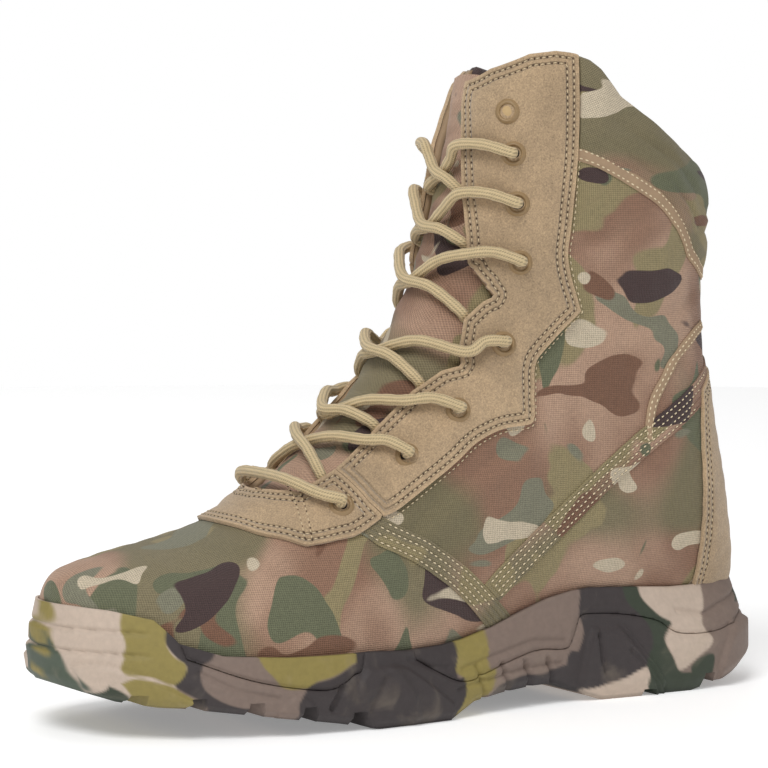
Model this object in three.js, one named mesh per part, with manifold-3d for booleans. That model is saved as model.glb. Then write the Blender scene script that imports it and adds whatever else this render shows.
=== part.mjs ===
// An eight-inch laced field boot for the left foot, built as a bootmaker assembles it: a rubber outsole
// with lugs and raised wings, a softer midsole that shows in windows above it, a footbed, a hollow cloth
// upper on a last, suede facings, saddle and backstay, a padded collar, a tongue, eyelets, crossed laces.
// Millimetres, +X to the toe, +Y to the outer side of the foot, +Z up. The tables' x starts in the middle
// of the sole. The finished boot is moved so that the origin lies on the floor in the middle of its box.
// Every outline in side view is a list of [x, z] pairs, where x is in hundredths of the sole's length and z
// in hundredths of the boot's height.
import * as THREE from "three";
import { mergeVertices } from "three/addons/utils/BufferGeometryUtils.js";
import Module from "manifold-3d";

// Driving dimensions
const LENGTH = 300; // sole, heel to toe
const BALL_WIDTH = 107; // sole across the ball of the foot
const HEIGHT = 242; // floor to the highest point of the facings
const HEEL_BED = 31; // footbed above the floor under the heel
const BALL_BED = 16; // footbed above the floor under the ball
const TOE_SPRING = 18.4; // lift of the tread at the toe's tip
const WALL = 2.6; // cloth, foam and lining of the upper
const PANEL_STEP = 0.9; // a cloth panel lapped over its neighbour
const SUEDE = 1.5; // facings, saddle and backstay
const COLLAR_OUT = 2.4; // how far the padded collar stands proud of the shaft
const COLLAR_IN = 7.0; // how far its padding reaches inwards
const TONGUE_THICK = 5.0;
const INSOLE_THICK = 4.5;
const CLEAR = 0.3; // between pieces that touch
const GROOVE_DEPTH = 5.5; // of the deepest grooves between the lugs
const GROOVE_WIDTH = 7;
const GROOVE_TAPER = 0.7; // its width at the top over its width at the tread
const WING_STEP = 1.8; // raised rubber on the side of the sole
const SKIRT = 5; // rubber outside the midsole's core
const MIDSOLE_FLOOR = 9; // the core above the tread
const EYELET_OUTER = 4.7;
const EYELET_HOLE = 2.3;
const EYELET_HEIGHT = 1.1;
const LACE_RADIUS = 2.1;
const CROSS_LIFT = 3.1; // the upper strand of a crossing over the lower one

const wasm = await Module();
wasm.setup();

// Lengths from the shares that the tables hold
const along = (share) => (share * LENGTH) / 100;
const across = (share) => (share * BALL_WIDTH) / 100;
const up = (share) => (share * HEIGHT) / 100;
const sprung = (share) => (share * TOE_SPRING) / 100;

// A Catmull-Rom value through the rows of a table at place s, where s 2.5 is halfway from row 2 to row 3.
function blend(values, s) {
  const last = values.length - 1;
  const i = Math.min(Math.max(Math.floor(s), 0), last - 1);
  const f = s - i;
  const at = (k) => values[Math.min(Math.max(k, 0), last)];
  const [a, b, c, d] = [at(i - 1), at(i), at(i + 1), at(i + 2)];
  return b + 0.5 * f * (c - a + f * (2 * a - 5 * b + 4 * c - d + f * (3 * (b - c) + d - a)));
}

// Linear reading of [x, value] pairs in rising x
function read(pairs, x) {
  if (x <= pairs[0][0]) return pairs[0][1];
  for (let i = 1; i < pairs.length; i++) {
    const [x0, v0] = pairs[i - 1];
    const [x1, v1] = pairs[i];
    if (x <= x1) return v0 + ((v1 - v0) * (x - x0)) / (x1 - x0);
  }
  return pairs[pairs.length - 1][1];
}

// Footbed height along the foot: the share runs from the ball's height, 0, to the heel's, 1.
const BED_SHARES = [
  [-50, 1], [-20, 0.93], [-10, 0.68], [0, 0.38], [10, 0.12], [20, 0], [28, 0.02], [36, 0.22], [44, 0.55],
  [50, 0.8],
];
const bed = (x) => BALL_BED + (HEEL_BED - BALL_BED) * read(BED_SHARES, (x / LENGTH) * 100);

// The last. Each row is one section, a line in side view from the front of the boot to its bottom or back.
// After the two ends come the half widths to the outer and inner side, where it is widest (0 at the bottom,
// 1 at the front), how square it is in front and behind (2 is an ellipse) and how far its middle is moved
// sideways. Widths are in hundredths of the width at the ball. A null z is on the footbed.
const SINK = 8; // the sections reach this far below the footbed, where they are cut off
const LAST = [
  // frontX frontZ backX backZ  outer inner widest front  back  shift
  [49.0, 18.6, 49.0, null, 45.5, 42.5, 0.42, 2.0, 2.6, -4.5],
  [48.6, 21.4, 48.4, null, 45.5, 42.5, 0.40, 2.0, 2.6, -4.3],
  [46.6, 23.8, 46.2, null, 45.6, 42.6, 0.38, 2.1, 2.7, -3.8],
  [41.2, 25.7, 40.4, null, 46.0, 43.0, 0.34, 2.1, 2.8, -2.6],
  [34.4, 27.5, 32.9, null, 46.8, 43.0, 0.31, 2.0, 3.0, -1.4],
  [27.9, 29.7, 25.7, null, 47.2, 42.6, 0.30, 1.95, 3.1, -0.6],
  [22.9, 33.0, 19.2, null, 47.0, 41.8, 0.29, 1.9, 3.1, 0],
  [17.8, 37.8, 12.2, null, 45.4, 39.8, 0.30, 1.9, 3.0, 0.4],
  [13.0, 42.8, 4.5, null, 42.8, 37.0, 0.32, 1.95, 2.9, 0.8],
  [8.1, 49.2, -4.5, null, 40.0, 35.0, 0.36, 2.0, 2.8, 1.2],
  [3.6, 56.2, -15, null, 38.0, 34.4, 0.40, 2.1, 2.7, 1.4],
  [0.1, 63.3, -26.5, null, 36.6, 34.4, 0.43, 2.2, 2.5, 1.2],
  [-2.4, 70.5, -38, null, 35.8, 34.4, 0.45, 2.3, 2.3, 1.0],
  [-4.1, 76.7, -45.8, 13.5, 35.6, 34.6, 0.46, 2.4, 2.2, 0.8],
  [-5.4, 82.4, -45.8, 25.5, 36.0, 35.2, 0.47, 2.4, 2.1, 0.6],
  [-6.5, 88.2, -43.6, 39.0, 36.8, 36.2, 0.48, 2.4, 2.1, 0.4],
  [-7.5, 94.3, -42.0, 53.0, 38.0, 37.6, 0.49, 2.4, 2.1, 0.2],
  [-8.6, 100.7, -41.6, 68.0, 39.2, 39.0, 0.50, 2.4, 2.1, 0],
  [-9.8, 107.8, -41.9, 88.0, 39.6, 39.6, 0.50, 2.4, 2.1, 0],
];
const column = (k) => LAST.map((row) => row[k]);
const [FRONT_X, FRONT_Z, BACK_X, BACK_Z, OUTER, INNER] = [0, 1, 2, 3, 4, 5].map(column);
const [WIDEST, SQUARE_FRONT, SQUARE_BACK, SHIFT] = [6, 7, 8, 9].map(column);
const BED_ROWS = BACK_Z.filter((z) => z === null).length;
const TOE_ROUND_FROM = 19; // the toe starts to close here, in hundredths of the length
const TOE_TIP = 49.2; // where the rounding would meet, just past the last section
const TOE_ROUND_POWER = 2.25;
const RING = 8; // steps from front to back on each side

// The section at place s of the table, in millimetres
function section(s) {
  const frontX = blend(FRONT_X, s);
  const backX = along(blend(BACK_X, s));
  const lowZ = BACK_X.map((x, i) => (i < BED_ROWS ? bed(along(x)) - SINK : up(BACK_Z[i])));
  const closing = Math.min(Math.max((frontX - TOE_ROUND_FROM) / (TOE_TIP - TOE_ROUND_FROM), 0), 1);
  const round = Math.pow(1 - Math.pow(closing, TOE_ROUND_POWER), 1 / TOE_ROUND_POWER);
  return {
    front: [along(frontX), up(blend(FRONT_Z, s))],
    back: [backX, blend(lowZ, s)],
    outer: across(blend(OUTER, s)) * round,
    inner: across(blend(INNER, s)) * round,
    widest: blend(WIDEST, s),
    squareFront: blend(SQUARE_FRONT, s),
    squareBack: blend(SQUARE_BACK, s),
    shift: across(blend(SHIFT, s)),
  };
}

// A point of the last: t runs from the front, 0, to the bottom or back, 1. Side is 1 outside, -1 inside.
function lastPoint(s, t, side) {
  const row = section(s);
  const c = Math.cos(Math.PI * t);
  const front = c >= 0;
  const square = front ? row.squareFront : row.squareBack;
  const reach = Math.pow(Math.abs(c), 2 / square);
  const h = front ? row.widest + (1 - row.widest) * reach : row.widest * (1 - reach);
  const share = Math.pow(Math.max(Math.sin(Math.PI * t), 0), 2 / square);
  const wide = share * (side > 0 ? row.outer : row.inner);
  return new THREE.Vector3(
    row.back[0] + (row.front[0] - row.back[0]) * h,
    row.shift + side * wide,
    row.back[1] + (row.front[1] - row.back[1]) * h,
  );
}

// The outward normal of the last
function lastNormal(s, t, side) {
  const e = 0.02;
  const [next, previous] = [Math.min(s + e, LAST.length - 1), Math.max(s - e, 0)];
  const ds = lastPoint(next, t, side).sub(lastPoint(previous, t, side));
  const tt = Math.min(Math.max(t, e), 1 - e);
  const dt = lastPoint(s, tt + e, side).sub(lastPoint(s, tt - e, side));
  const n = new THREE.Vector3().crossVectors(dt, ds).multiplyScalar(side);
  if (t === 0 || t === 1) n.y = 0;
  if (s === 0) n.set(1, 0, 0);
  return n.normalize();
}
const offsetPoint = (s, t, side, d) => lastPoint(s, t, side).addScaledVector(lastNormal(s, t, side), d);

// Joined and cut solids
function geometryOf(solid) {
  const mesh = solid.getMesh();
  const geometry = new THREE.BufferGeometry();
  geometry.setAttribute("position", new THREE.BufferAttribute(mesh.vertProperties.slice(), 3));
  geometry.setIndex(new THREE.BufferAttribute(mesh.triVerts.slice(), 1));
  geometry.computeVertexNormals();
  return geometry;
}
function solidOf(geometry) {
  const bare = geometry.clone();
  bare.deleteAttribute("normal");
  bare.deleteAttribute("uv");
  const merged = mergeVertices(bare, 1e-4);
  const made = new wasm.Manifold(new wasm.Mesh({
    numProp: 3,
    vertProperties: new Float32Array(merged.attributes.position.array),
    triVerts: new Uint32Array(merged.index.array),
  }));
  return made.volume() < 0 ? turned(merged) : made;
}
function turned(merged) {
  const triVerts = new Uint32Array(merged.index.array).reverse();
  return new wasm.Manifold(new wasm.Mesh({
    numProp: 3,
    vertProperties: new Float32Array(merged.attributes.position.array),
    triVerts,
  }));
}

// A closed solid through rings of points. Rings have equal lengths, and both ends are closed by a ladder
// from the ring's first point to its middle one.
function loft(rings) {
  const n = rings[0].length;
  const positions = rings.flat().flatMap((p) => [p.x, p.y, p.z]);
  const index = [];
  for (let i = 0; i + 1 < rings.length; i++) {
    for (let j = 0; j < n; j++) {
      const k = (j + 1) % n;
      const [a, b, c, d] = [i * n + j, i * n + k, (i + 1) * n + k, (i + 1) * n + j];
      index.push(a, b, c, a, c, d);
    }
  }
  for (const [start, flip] of [[0, true], [(rings.length - 1) * n, false]]) {
    for (let j = 0; j < n / 2; j++) {
      const [a, b] = [start + j, start + j + 1];
      const [c, d] = [start + ((n - j - 1) % n), start + ((n - j) % n)];
      const faces = [[a, b, c], [a, c, d]].filter((face) => new Set(face).size === 3);
      for (const [p, q, r] of faces) index.push(...(flip ? [p, r, q] : [p, q, r]));
    }
  }
  const geometry = new THREE.BufferGeometry();
  geometry.setAttribute("position", new THREE.Float32BufferAttribute(positions, 3));
  geometry.setIndex(index);
  return solidOf(geometry);
}

// A side-view outline in millimetres
const sideOutline = (shares) => shares.map(([x, z]) => new THREE.Vector2(along(x), up(z)));
// A closed side-view outline extruded across the boot, from y0 to y1
function prism(points, y0 = -BALL_WIDTH, y1 = BALL_WIDTH) {
  const options = { depth: y1 - y0, bevelEnabled: false };
  const geometry = new THREE.ExtrudeGeometry(new THREE.Shape(points), options);
  geometry.rotateX(Math.PI / 2).translate(0, y1, 0);
  return solidOf(geometry);
}

// The last as a solid, grown by d, cut off along the footbed less `drop`
function lastForm(d, drop = 0) {
  const rings = [];
  for (let s = 0; s < LAST.length; s++) {
    const ring = [];
    for (let j = 0; j <= RING; j++) ring.push(offsetPoint(s, j / RING, 1, d));
    for (let j = RING - 1; j > 0; j--) ring.push(offsetPoint(s, j / RING, -1, d));
    rings.push(ring);
  }
  return loft(rings).subtract(belowBed(drop));
}
const BEYOND = 60; // how far the cutting shapes reach past the boot, in mm
function belowBed(drop) {
  const line = BED_SHARES.map(([x]) => new THREE.Vector2(along(x), bed(along(x)) - drop));
  const [first, last] = [line[0], line[line.length - 1]];
  const [heel, toe] = [first.x - BEYOND, last.x + BEYOND];
  return prism([
    new THREE.Vector2(heel, -BEYOND), new THREE.Vector2(toe, -BEYOND), new THREE.Vector2(toe, last.y),
    ...line.reverse(), new THREE.Vector2(heel, first.y),
  ]);
}

// Where the side-view point [x, z], in millimetres, lies on the last: its place in the table and its y
function onLast(x, z, side) {
  const cross = (s) => {
    const { front, back } = section(s);
    return (x - front[0]) * (back[1] - front[1]) - (z - front[1]) * (back[0] - front[0]);
  };
  const s = bisect(cross, 0, LAST.length - 1);
  const { front, back, widest, squareFront, squareBack, outer, inner, shift } = section(s);
  const [dx, dz] = [front[0] - back[0], front[1] - back[1]];
  const h = Math.min(Math.max(((x - back[0]) * dx + (z - back[1]) * dz) / (dx * dx + dz * dz), 0), 1);
  const reach = h >= widest ? (h - widest) / (1 - widest) : 1 - h / widest;
  const square = h >= widest ? squareFront : squareBack;
  const wide = Math.pow(Math.max(1 - Math.pow(reach, square), 0), 1 / square);
  return { s, y: shift + side * wide * (side > 0 ? outer : inner) };
}
function bisect(fn, low, high) {
  const rising = fn(high) > fn(low);
  for (let i = 0; i < 40; i++) {
    const mid = (low + high) / 2;
    if (fn(mid) > 0 === rising) high = mid;
    else low = mid;
  }
  return (low + high) / 2;
}
// Outlines of the upper in side view
const COLLAR_TOP = [
  [-46, 78], [-42, 79], [-38, 81.5], [-32.5, 85.2], [-26.6, 90], [-22.6, 93.2], [-21.2, 95.4],
];
const TOP_LINE = [
  ...COLLAR_TOP, [-19.9, 97.4], [-18.5, 98.7], [-16.5, 99.6], [-14.5, 100], [-12, 99.5], [-9, 97.2],
  [-6.3, 93], [-3, 87],
];
const INNER_TOP_LINE = [
  ...COLLAR_TOP, [-19.6, 97.2], [-17.6, 97.8], [-14.4, 95], [-12, 91], [-7, 83], [-3, 76],
];
const COLLAR_LINE = [
  [-46, 65.3], [-40, 66.4], [-36.1, 68.8], [-33.7, 73.1], [-29.8, 77.8], [-25.6, 80.9], [-20.3, 84.3],
  [-16.9, 85.8],
];
const FACING_REAR = -16.9; // the straight rear edge of the facing at the collar
const FACING = [
  [FACING_REAR, 104], [FACING_REAR, 85.8], [-16.3, 74], [-16.0, 67.6], [-17.6, 60.3], [-12.4, 54.4],
  [-11.0, 52.0], [-10.6, 48.0], [-10.3, 44.2], [-9.4, 43.3], [-5.9, 42.8], [-2.3, 41.0], [0.7, 38.2],
  [3.7, 35.7], [8.8, 31.8], [11.08, 30.6], [14.88, 37.9], [24, 56], [24, 104],
];
const SADDLE = [
  [11.2, 30.6], [14.7, 28.3], [17.9, 27.5], [20.4, 27.0], [21.6, 27.1], [25.6, 28.8], [28.8, 30.0],
  [31.6, 30.4], [36, 36], [24.3, 55.4], [15.0, 37.9],
];
const BACKSTAY = [[-37.1, 47], [-36.7, 40], [-37.0, 32], [-37.0, 12], [-52, 12], [-52, 53], [-41, 50]];

// Raised cloth: stitched bands over the joins, and the welt under the collar
const WELT = 1.9;
const BANDS = [
  [
    [-47, 55], [-36.5, 48], [-26.3, 40.8], [-3.2, 20], [-1.5, 17.5], [-5.6, 17.2], [-9.4, 22.1],
    [-26.4, 37.3], [-36.9, 45.3], [-47, 51],
  ],
  [
    [11.2, 29.6], [5, 26.6], [-0.2, 21.6], [-4, 17.4], [-9, 12], [-5.8, 11], [-2.1, 14.8], [2.8, 19.9],
    [8.4, 24.8], [13.1, 27.7],
  ],
  [...COLLAR_LINE, ...COLLAR_LINE.map(([x, z]) => [x, z - WELT]).reverse()],
];

// The lacing: where the throat's edge lies at places up the last, and the eyelets from the lowest up
const THROAT = [
  // place, t
  [6.2, 0.01], [6.28, 0.055], [6.42, 0.095], [6.68, 0.141], [7.5, 0.161], [8.73, 0.169], [9.53, 0.184],
  [9.88, 0.2], [10.18, 0.213], [10.55, 0.243], [10.8, 0.216], [11.18, 0.199], [11.71, 0.218], [12.0, 0.236],
  [12.1, 0.156], [13.4, 0.091], [14.5, 0.06], [15.5, 0.034], [18, 0.025],
];
// Where the strands from each pair of eyelets leave the throat's edges, and where the two cross
const CROSSINGS = [
  // leaves, crosses
  [7.27, 7.6], [8.65, 8.35], [9.75, 9.7], [11.25, 11.2], [12.4, 12.4], [13.5, 13.8],
];
const BAR_PLACE = 6.6; // the middle of the lowest bar
const EYELETS = [
  // place, t on the outer side, t on the inner side
  [7.21, 0.235, 0.235],
  [8.83, 0.262, 0.262],
  [10.0, 0.286, 0.286],
  [11.47, 0.288, 0.288],
  [13.04, 0.259, 0.259],
  [14.15, 0.234, 0.234],
  [15.12, 0.212, 0.212],
  [15.9, 0.182, 0.29],
];
const eyeletT = (i, side) => EYELETS[i][side > 0 ? 1 : 2];
const THROAT_DEPTH = 30;
const throatEdge = (s, side) => lastPoint(s, read(THROAT, s), side).y;

// A box along the throat, wider than it by `lap` on each side, between two places of the last
function throatBox(lap = 0, from = 0, to = LAST.length) {
  const rows = THROAT.map(([s]) => s).filter((s) => s > from && s < to);
  if (from > 0) rows.unshift(from);
  if (to < LAST.length) rows.push(to);
  const corners = [[-1, -1], [-1, 1], [1, 1], [1, -1]];
  const rings = rows.map((s) => {
    const { front, back } = section(s);
    const inward = new THREE.Vector3(back[0] - front[0], 0, back[1] - front[1]).normalize();
    return corners.map(([deep, side]) => {
      const y = throatEdge(s, side) + side * lap;
      return new THREE.Vector3(front[0], y, front[1]).addScaledVector(inward, deep * THROAT_DEPTH);
    });
  });
  return loft(rings);
}

// Everything above a side-view line
const CEILING = 130; // over everything, in hundredths of the height
function above(line, lift = 0, y0 = -BALL_WIDTH, y1 = BALL_WIDTH) {
  const outline = sideOutline([...line, [line.at(-1)[0], CEILING], [line[0][0], CEILING]]);
  return prism(outline.map((p) => p.setY(p.y + lift)), y0, y1);
}
const joined = (solids) => solids.reduce((a, b) => a.add(b));
// The room that an outline takes up with the clearance round it
function grownPrism(outline) {
  const one = prism(sideOutline(outline));
  const shifts = [[1, 1], [1, -1], [-1, 1], [-1, -1]];
  return joined(shifts.map(([x, z]) => one.translate([x * CLEAR, 0, z * CLEAR])));
}

// The sole. Each row is a station from heel to toe, with the half widths in hundredths of the ball's width,
// the rim in hundredths of the height and the tread's lift in hundredths of the toe's.
const SOLE = [
  // x   outer inner  rim  tread
  [-48.8, 38, 38, 16.6, 71],
  [-48.1, 38, 38, 16.6, 65.8],
  [-45.8, 38, 38, 16.4, 44.7],
  [-42, 38, 38, 16.2, 25],
  [-38.5, 38, 38, 16.1, 10.5],
  [-35, 38, 38, 16.2, 0],
  [-28, 37.6, 36.8, 16.9, 0],
  [-21, 37.2, 35.6, 17.5, 0],
  [-18, 37.6, 35, 17.3, 15.8],
  [-14, 38.8, 34.3, 16.5, 43.4],
  [-10, 40, 34.2, 15, 43.4],
  [-5, 42.5, 34.8, 12.9, 38.1],
  [-0.5, 45, 37, 11.6, 28.9],
  [3.2, 47.3, 40.3, 11.1, 0],
  [9, 49.3, 44.5, 11, 0],
  [14.5, 50.8, 47.3, 11.5, 0],
  [20, 51.5, 48.7, 11.5, 17.1],
  [26, 51.1, 48.6, 11.6, 32.9],
  [34, 49.6, 46.9, 12.2, 51.3],
  [39, 48.5, 45.8, 14.2, 61.8],
  [41.5, 48, 45.3, 17.6, 64.4],
  [45.5, 47.2, 44.6, 18.8, 73.7],
  [48.4, 46.5, 44.2, 19.2, 89.4],
  [49.6, 46.2, 44, 19.3, 97.3],
  [50, 46, 44, 19.3, 100],
];
const SOLE_LEVELS = [
  // share of the height, growth in mm, share of the way from the sole's plan to the last's
  [0, -2.5, 0],
  [0.12, 0, 0],
  [0.42, 0.6, 0.12],
  [0.72, 0, 0.6],
  [1, -1.2, 1],
];
const CORE_RISE = 3; // the core's sides rise past the footbed to meet the midsole's band
const CORE_LEVELS = [[0, 0, 0], [1, 0, 0]];
const LIP = 0.085; // the rim stands this share of the last's width outside it
const END_LIP = 2.4; // and this far beyond its toe and heel
const LAST_TOE = LAST[0][0];
const LAST_HEEL = -45.9;
const HEEL_END = SOLE[0][0];
const TOE_END = SOLE.at(-1)[0];
const HEEL_CENTRE = -33; // where the heel's rounding starts
const TOE_CENTRE = 24; // where the toe's rounding starts
const TOE_SHIFT = -4.5; // the toe's tip to the inner side
const ROUND_POWER = 2.15;
const MEAN_HALF = 45; // a middling half width, which growth is spread over
const SEAT_RISE = 2; // the rim follows the last at least this far over the footbed, in mm
const rounding = (x, from, to) => {
  const share = Math.min(Math.max((x - from) / (to - from), 0), 1);
  return Math.pow(1 - Math.pow(share, ROUND_POWER), 1 / ROUND_POWER);
};
function soleSide(row, side, level, grow) {
  const [x, outer, inner, rim, tread] = row;
  const [v, growth, toLast] = level;
  const z = sprung(tread) + (up(rim) - sprung(tread)) * v;
  const middle = across(TOE_SHIFT * Math.pow(Math.max(x / TOE_END, 0), 2));
  const out = growth + grow;
  const wider = out / across(MEAN_HALF);
  const round = rounding(x, TOE_CENTRE, TOE_END) * rounding(-x, -HEEL_CENTRE, -HEEL_END);
  const yPlan = middle + side * across(side > 0 ? outer : inner) * round * (1 + wider);
  const xPlan = along(x) * (1 + out / along(TOE_END));
  const toToe = (x - HEEL_END) / (TOE_END - HEEL_END);
  const xLast = along(LAST_HEEL + toToe * (LAST_TOE - LAST_HEEL));
  const seat = onLast(xLast, Math.max(up(rim), bed(xLast) + SEAT_RISE), side);
  const middleLast = section(seat.s).shift;
  const yLast = middleLast + (seat.y - middleLast) * (1 + LIP + wider);
  const xRim = xLast + Math.sign(x) * Math.abs(x / TOE_END) ** 3 * (END_LIP + out);
  return new THREE.Vector3(xPlan + (xRim - xPlan) * toLast, yPlan + (yLast - yPlan) * toLast, z);
}
function soleBody(grow, levels = SOLE_LEVELS) {
  const rings = levels.map((level) => [
    ...SOLE.map((row) => soleSide(row, 1, level, grow)),
    ...SOLE.slice(1, -1).reverse().map((row) => soleSide(row, -1, level, grow)),
  ]);
  return loft(rings);
}

// The line on the side of the sole between midsole, above, and outsole
const PARTING = [
  [-56, 12.6], [-47, 11], [-40, 9], [-33, 9.2], [-29.5, 11.5], [-24, 13], [-18.5, 13.6], [-17.2, 13.2],
  [-15.8, 9.5], [-14.5, 8.6], [-9.9, 8.8], [-2, 6.4], [0.5, 5.6], [3.3, 6.2], [8.4, 9.6], [9.4, 21],
  [15.4, 21], [16.4, 10.2], [18, 8.4], [20.5, 6.8], [24, 6.9], [31, 8.7], [38, 12], [40, 21], [56, 21],
];
// Raised rubber on the side: outlines in side view
const RAISED = [
  [[11, -2], [14.5, -2], [17.4, 5], [17.2, 7.2], [15.5, 9], [11.5, 9], [9, 7.5], [3.6, 2.5], [3.4, -2]],
  [[36.6, 5.4], [40, 7.6], [43.5, 9.8], [46.5, 10.8], [48.5, 10.6], [47.2, 7.2], [44, 6], [40.5, 5]],
  [
    [-18.5, 10.2], [-19.5, 11.3], [-23.5, 11.4], [-26.5, 7.5], [-29.5, 3], [-30.5, -2], [-20, -2],
    [-17, 2.5],
  ],
  [[-38.9, -2], [-39.3, 4], [-42.6, 9.8], [-56, 9.4], [-56, -2]],
];
// The grooves round the toe's bumper: x where each starts, its height and its rise to the tip
const BUMPER_STEPS = [[41, 15.6, 0.8], [41, 12.4, 0.8]];
const BUMPER_GROOVE = 0.7;
const BUMPER_DEPTH = 1; // in mm
// The slits between the ribs of the arch: x at the foot, and their lean, width and top
const RIB_SLITS = [-2.4, -6.4, -10, -13.6];
const [SLIT_LEAN, SLIT_WIDTH, SLIT_TOP] = [0.8, 0.5, 6.6];
const SLIT_DEPTH = 1.4; // in mm
const GROOVES = [
  // x, depth in hundredths of the deepest, from y to y in hundredths of the ball's width
  [43.2, 73, -60, 60],
  [37, 82, -60, 60],
  [30.5, 91, 12, 60],
  [29, 91, -60, -8],
  [24, 100, 10, 60],
  [22.5, 100, -60, -10],
  [17.2, 100, -60, 60],
  [10.5, 100, -24, 24],
  [-24.5, 100, -22, 22],
  [-27.6, 45, -60, 60],
  [-31.5, 100, -22, 22],
  [-37.2, 91, -60, 60],
];
const treadAt = (x) => sprung(read(SOLE.map((row) => [row[0], row[4]]), x));
function treadCutter() {
  const cutters = GROOVES.map(([x, depth, y0, y1]) => {
    const z = treadAt(x) + (depth * GROOVE_DEPTH) / 100;
    const [half, halfTop] = [GROOVE_WIDTH / 2, (GROOVE_WIDTH * GROOVE_TAPER) / 2];
    const outline = [[-half, -BEYOND], [half, -BEYOND], [halfTop, z], [-halfTop, z]];
    const points = outline.map(([dx, dz]) => new THREE.Vector2(along(x) + dx, dz));
    return prism(points, across(y0), across(y1));
  });
  return joined(cutters);
}
// A cut into the side of the sole, `depth` deep, inside an outline in side view
const OUTSIDE = 6; // clear of the sole's side, in mm
function sideCut(depth, outline) {
  return soleBody(OUTSIDE).subtract(soleBody(-depth)).intersect(prism(sideOutline(outline)));
}
const FRONT = 56; // ahead of the toe
function makeSole() {
  const cavity = lastForm(CLEAR, CLEAR);
  const raised = joined(RAISED.map((outline) => prism(sideOutline(outline))));
  const floor = prism(sideOutline([[-FRONT, 0], [FRONT, 0], [FRONT, -FRONT], [-FRONT, -FRONT]]));
  const whole = soleBody(0).add(soleBody(WING_STEP).intersect(raised)).subtract(floor);
  const bumper = BUMPER_STEPS.map(([x, z, rise]) => sideCut(BUMPER_DEPTH, [
    [x, z], [FRONT, z + rise], [FRONT, z + rise - BUMPER_GROOVE], [x + 1, z - BUMPER_GROOVE],
  ]));
  const slits = RIB_SLITS.map((x) => sideCut(SLIT_DEPTH, [
    [x, -1], [x + SLIT_WIDTH, -1], [x + SLIT_LEAN + SLIT_WIDTH, SLIT_TOP], [x + SLIT_LEAN, SLIT_TOP],
  ]));
  const cuts = joined([...bumper, ...slits, treadCutter()]);
  const body = whole.subtract(cavity).subtract(cuts);
  const core = (grow) => soleBody(grow - SKIRT, CORE_LEVELS).intersect(prism([
    ...SOLE.map(([x]) => new THREE.Vector2(along(x), treadAt(x) + MIDSOLE_FLOOR - grow)),
    ...SOLE.map(([x]) => new THREE.Vector2(along(x), bed(along(x)) + CORE_RISE)).reverse(),
  ]));
  const split = (grow) => core(grow).add(above(PARTING, -grow));
  return { midsole: body.intersect(split(0)), outsole: body.subtract(split(CLEAR)) };
}

// The upper and what is sewn on it
const soleSpace = soleBody(2 * CLEAR).translate([0, 0, CLEAR]);
const throat = throatBox();
const aboveTop = above(TOP_LINE, 0, 0).add(above(INNER_TOP_LINE, 0, -BALL_WIDTH, 0));
const holes = [];
const HOLE_SIDES = 6;
const HOLE_REACH = 8; // to each side of the last's surface, in mm
for (const side of [1, -1]) {
  for (let i = 0; i < EYELETS.length; i++) {
    const [s, t] = [EYELETS[i][0], eyeletT(i, side)];
    const normal = lastNormal(s, t, side);
    const geometry = new THREE.CylinderGeometry(EYELET_HOLE, EYELET_HOLE, 2 * HOLE_REACH, HOLE_SIDES);
    geometry.applyQuaternion(new THREE.Quaternion().setFromUnitVectors(new THREE.Vector3(0, 1, 0), normal));
    geometry.translate(...lastPoint(s, t, side).toArray());
    holes.push(solidOf(geometry));
  }
}
const noSuede = joined([...holes, throat, aboveTop, soleSpace]);

const suedeShell = lastForm(CLEAR + SUEDE).subtract(lastForm(CLEAR));
function overlay(outline, y0, y1) {
  return suedeShell.intersect(prism(sideOutline(outline), y0, y1)).subtract(noSuede);
}
const facingOuter = overlay(FACING, 0, BALL_WIDTH);
const facingInner = overlay(FACING, -BALL_WIDTH, 0);
const saddle = overlay(SADDLE);
const backstay = overlay(BACKSTAY);

// Everything in front of the collar's ends, and `early` mm behind them
function aheadOfCollar(early) {
  const box = [[FACING_REAR, 40], [FRONT, 40], [FRONT, CEILING], [FACING_REAR, CEILING]];
  return prism(sideOutline(box)).translate([-early, 0, 0]);
}
function makeUpper() {
  const suede = joined([FACING, SADDLE, BACKSTAY].map(grownPrism));
  const bands = joined(BANDS.map((band) => prism(sideOutline(band)))).subtract(suede).subtract(soleSpace);
  const whole = lastForm(0).add(lastForm(PANEL_STEP).intersect(bands));
  const hollow = lastForm(-WALL, SINK / 2);
  const collarSpace = above(COLLAR_LINE).subtract(aheadOfCollar(0));
  return whole.subtract(joined([hollow, throat, aboveTop, collarSpace]));
}

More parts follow.
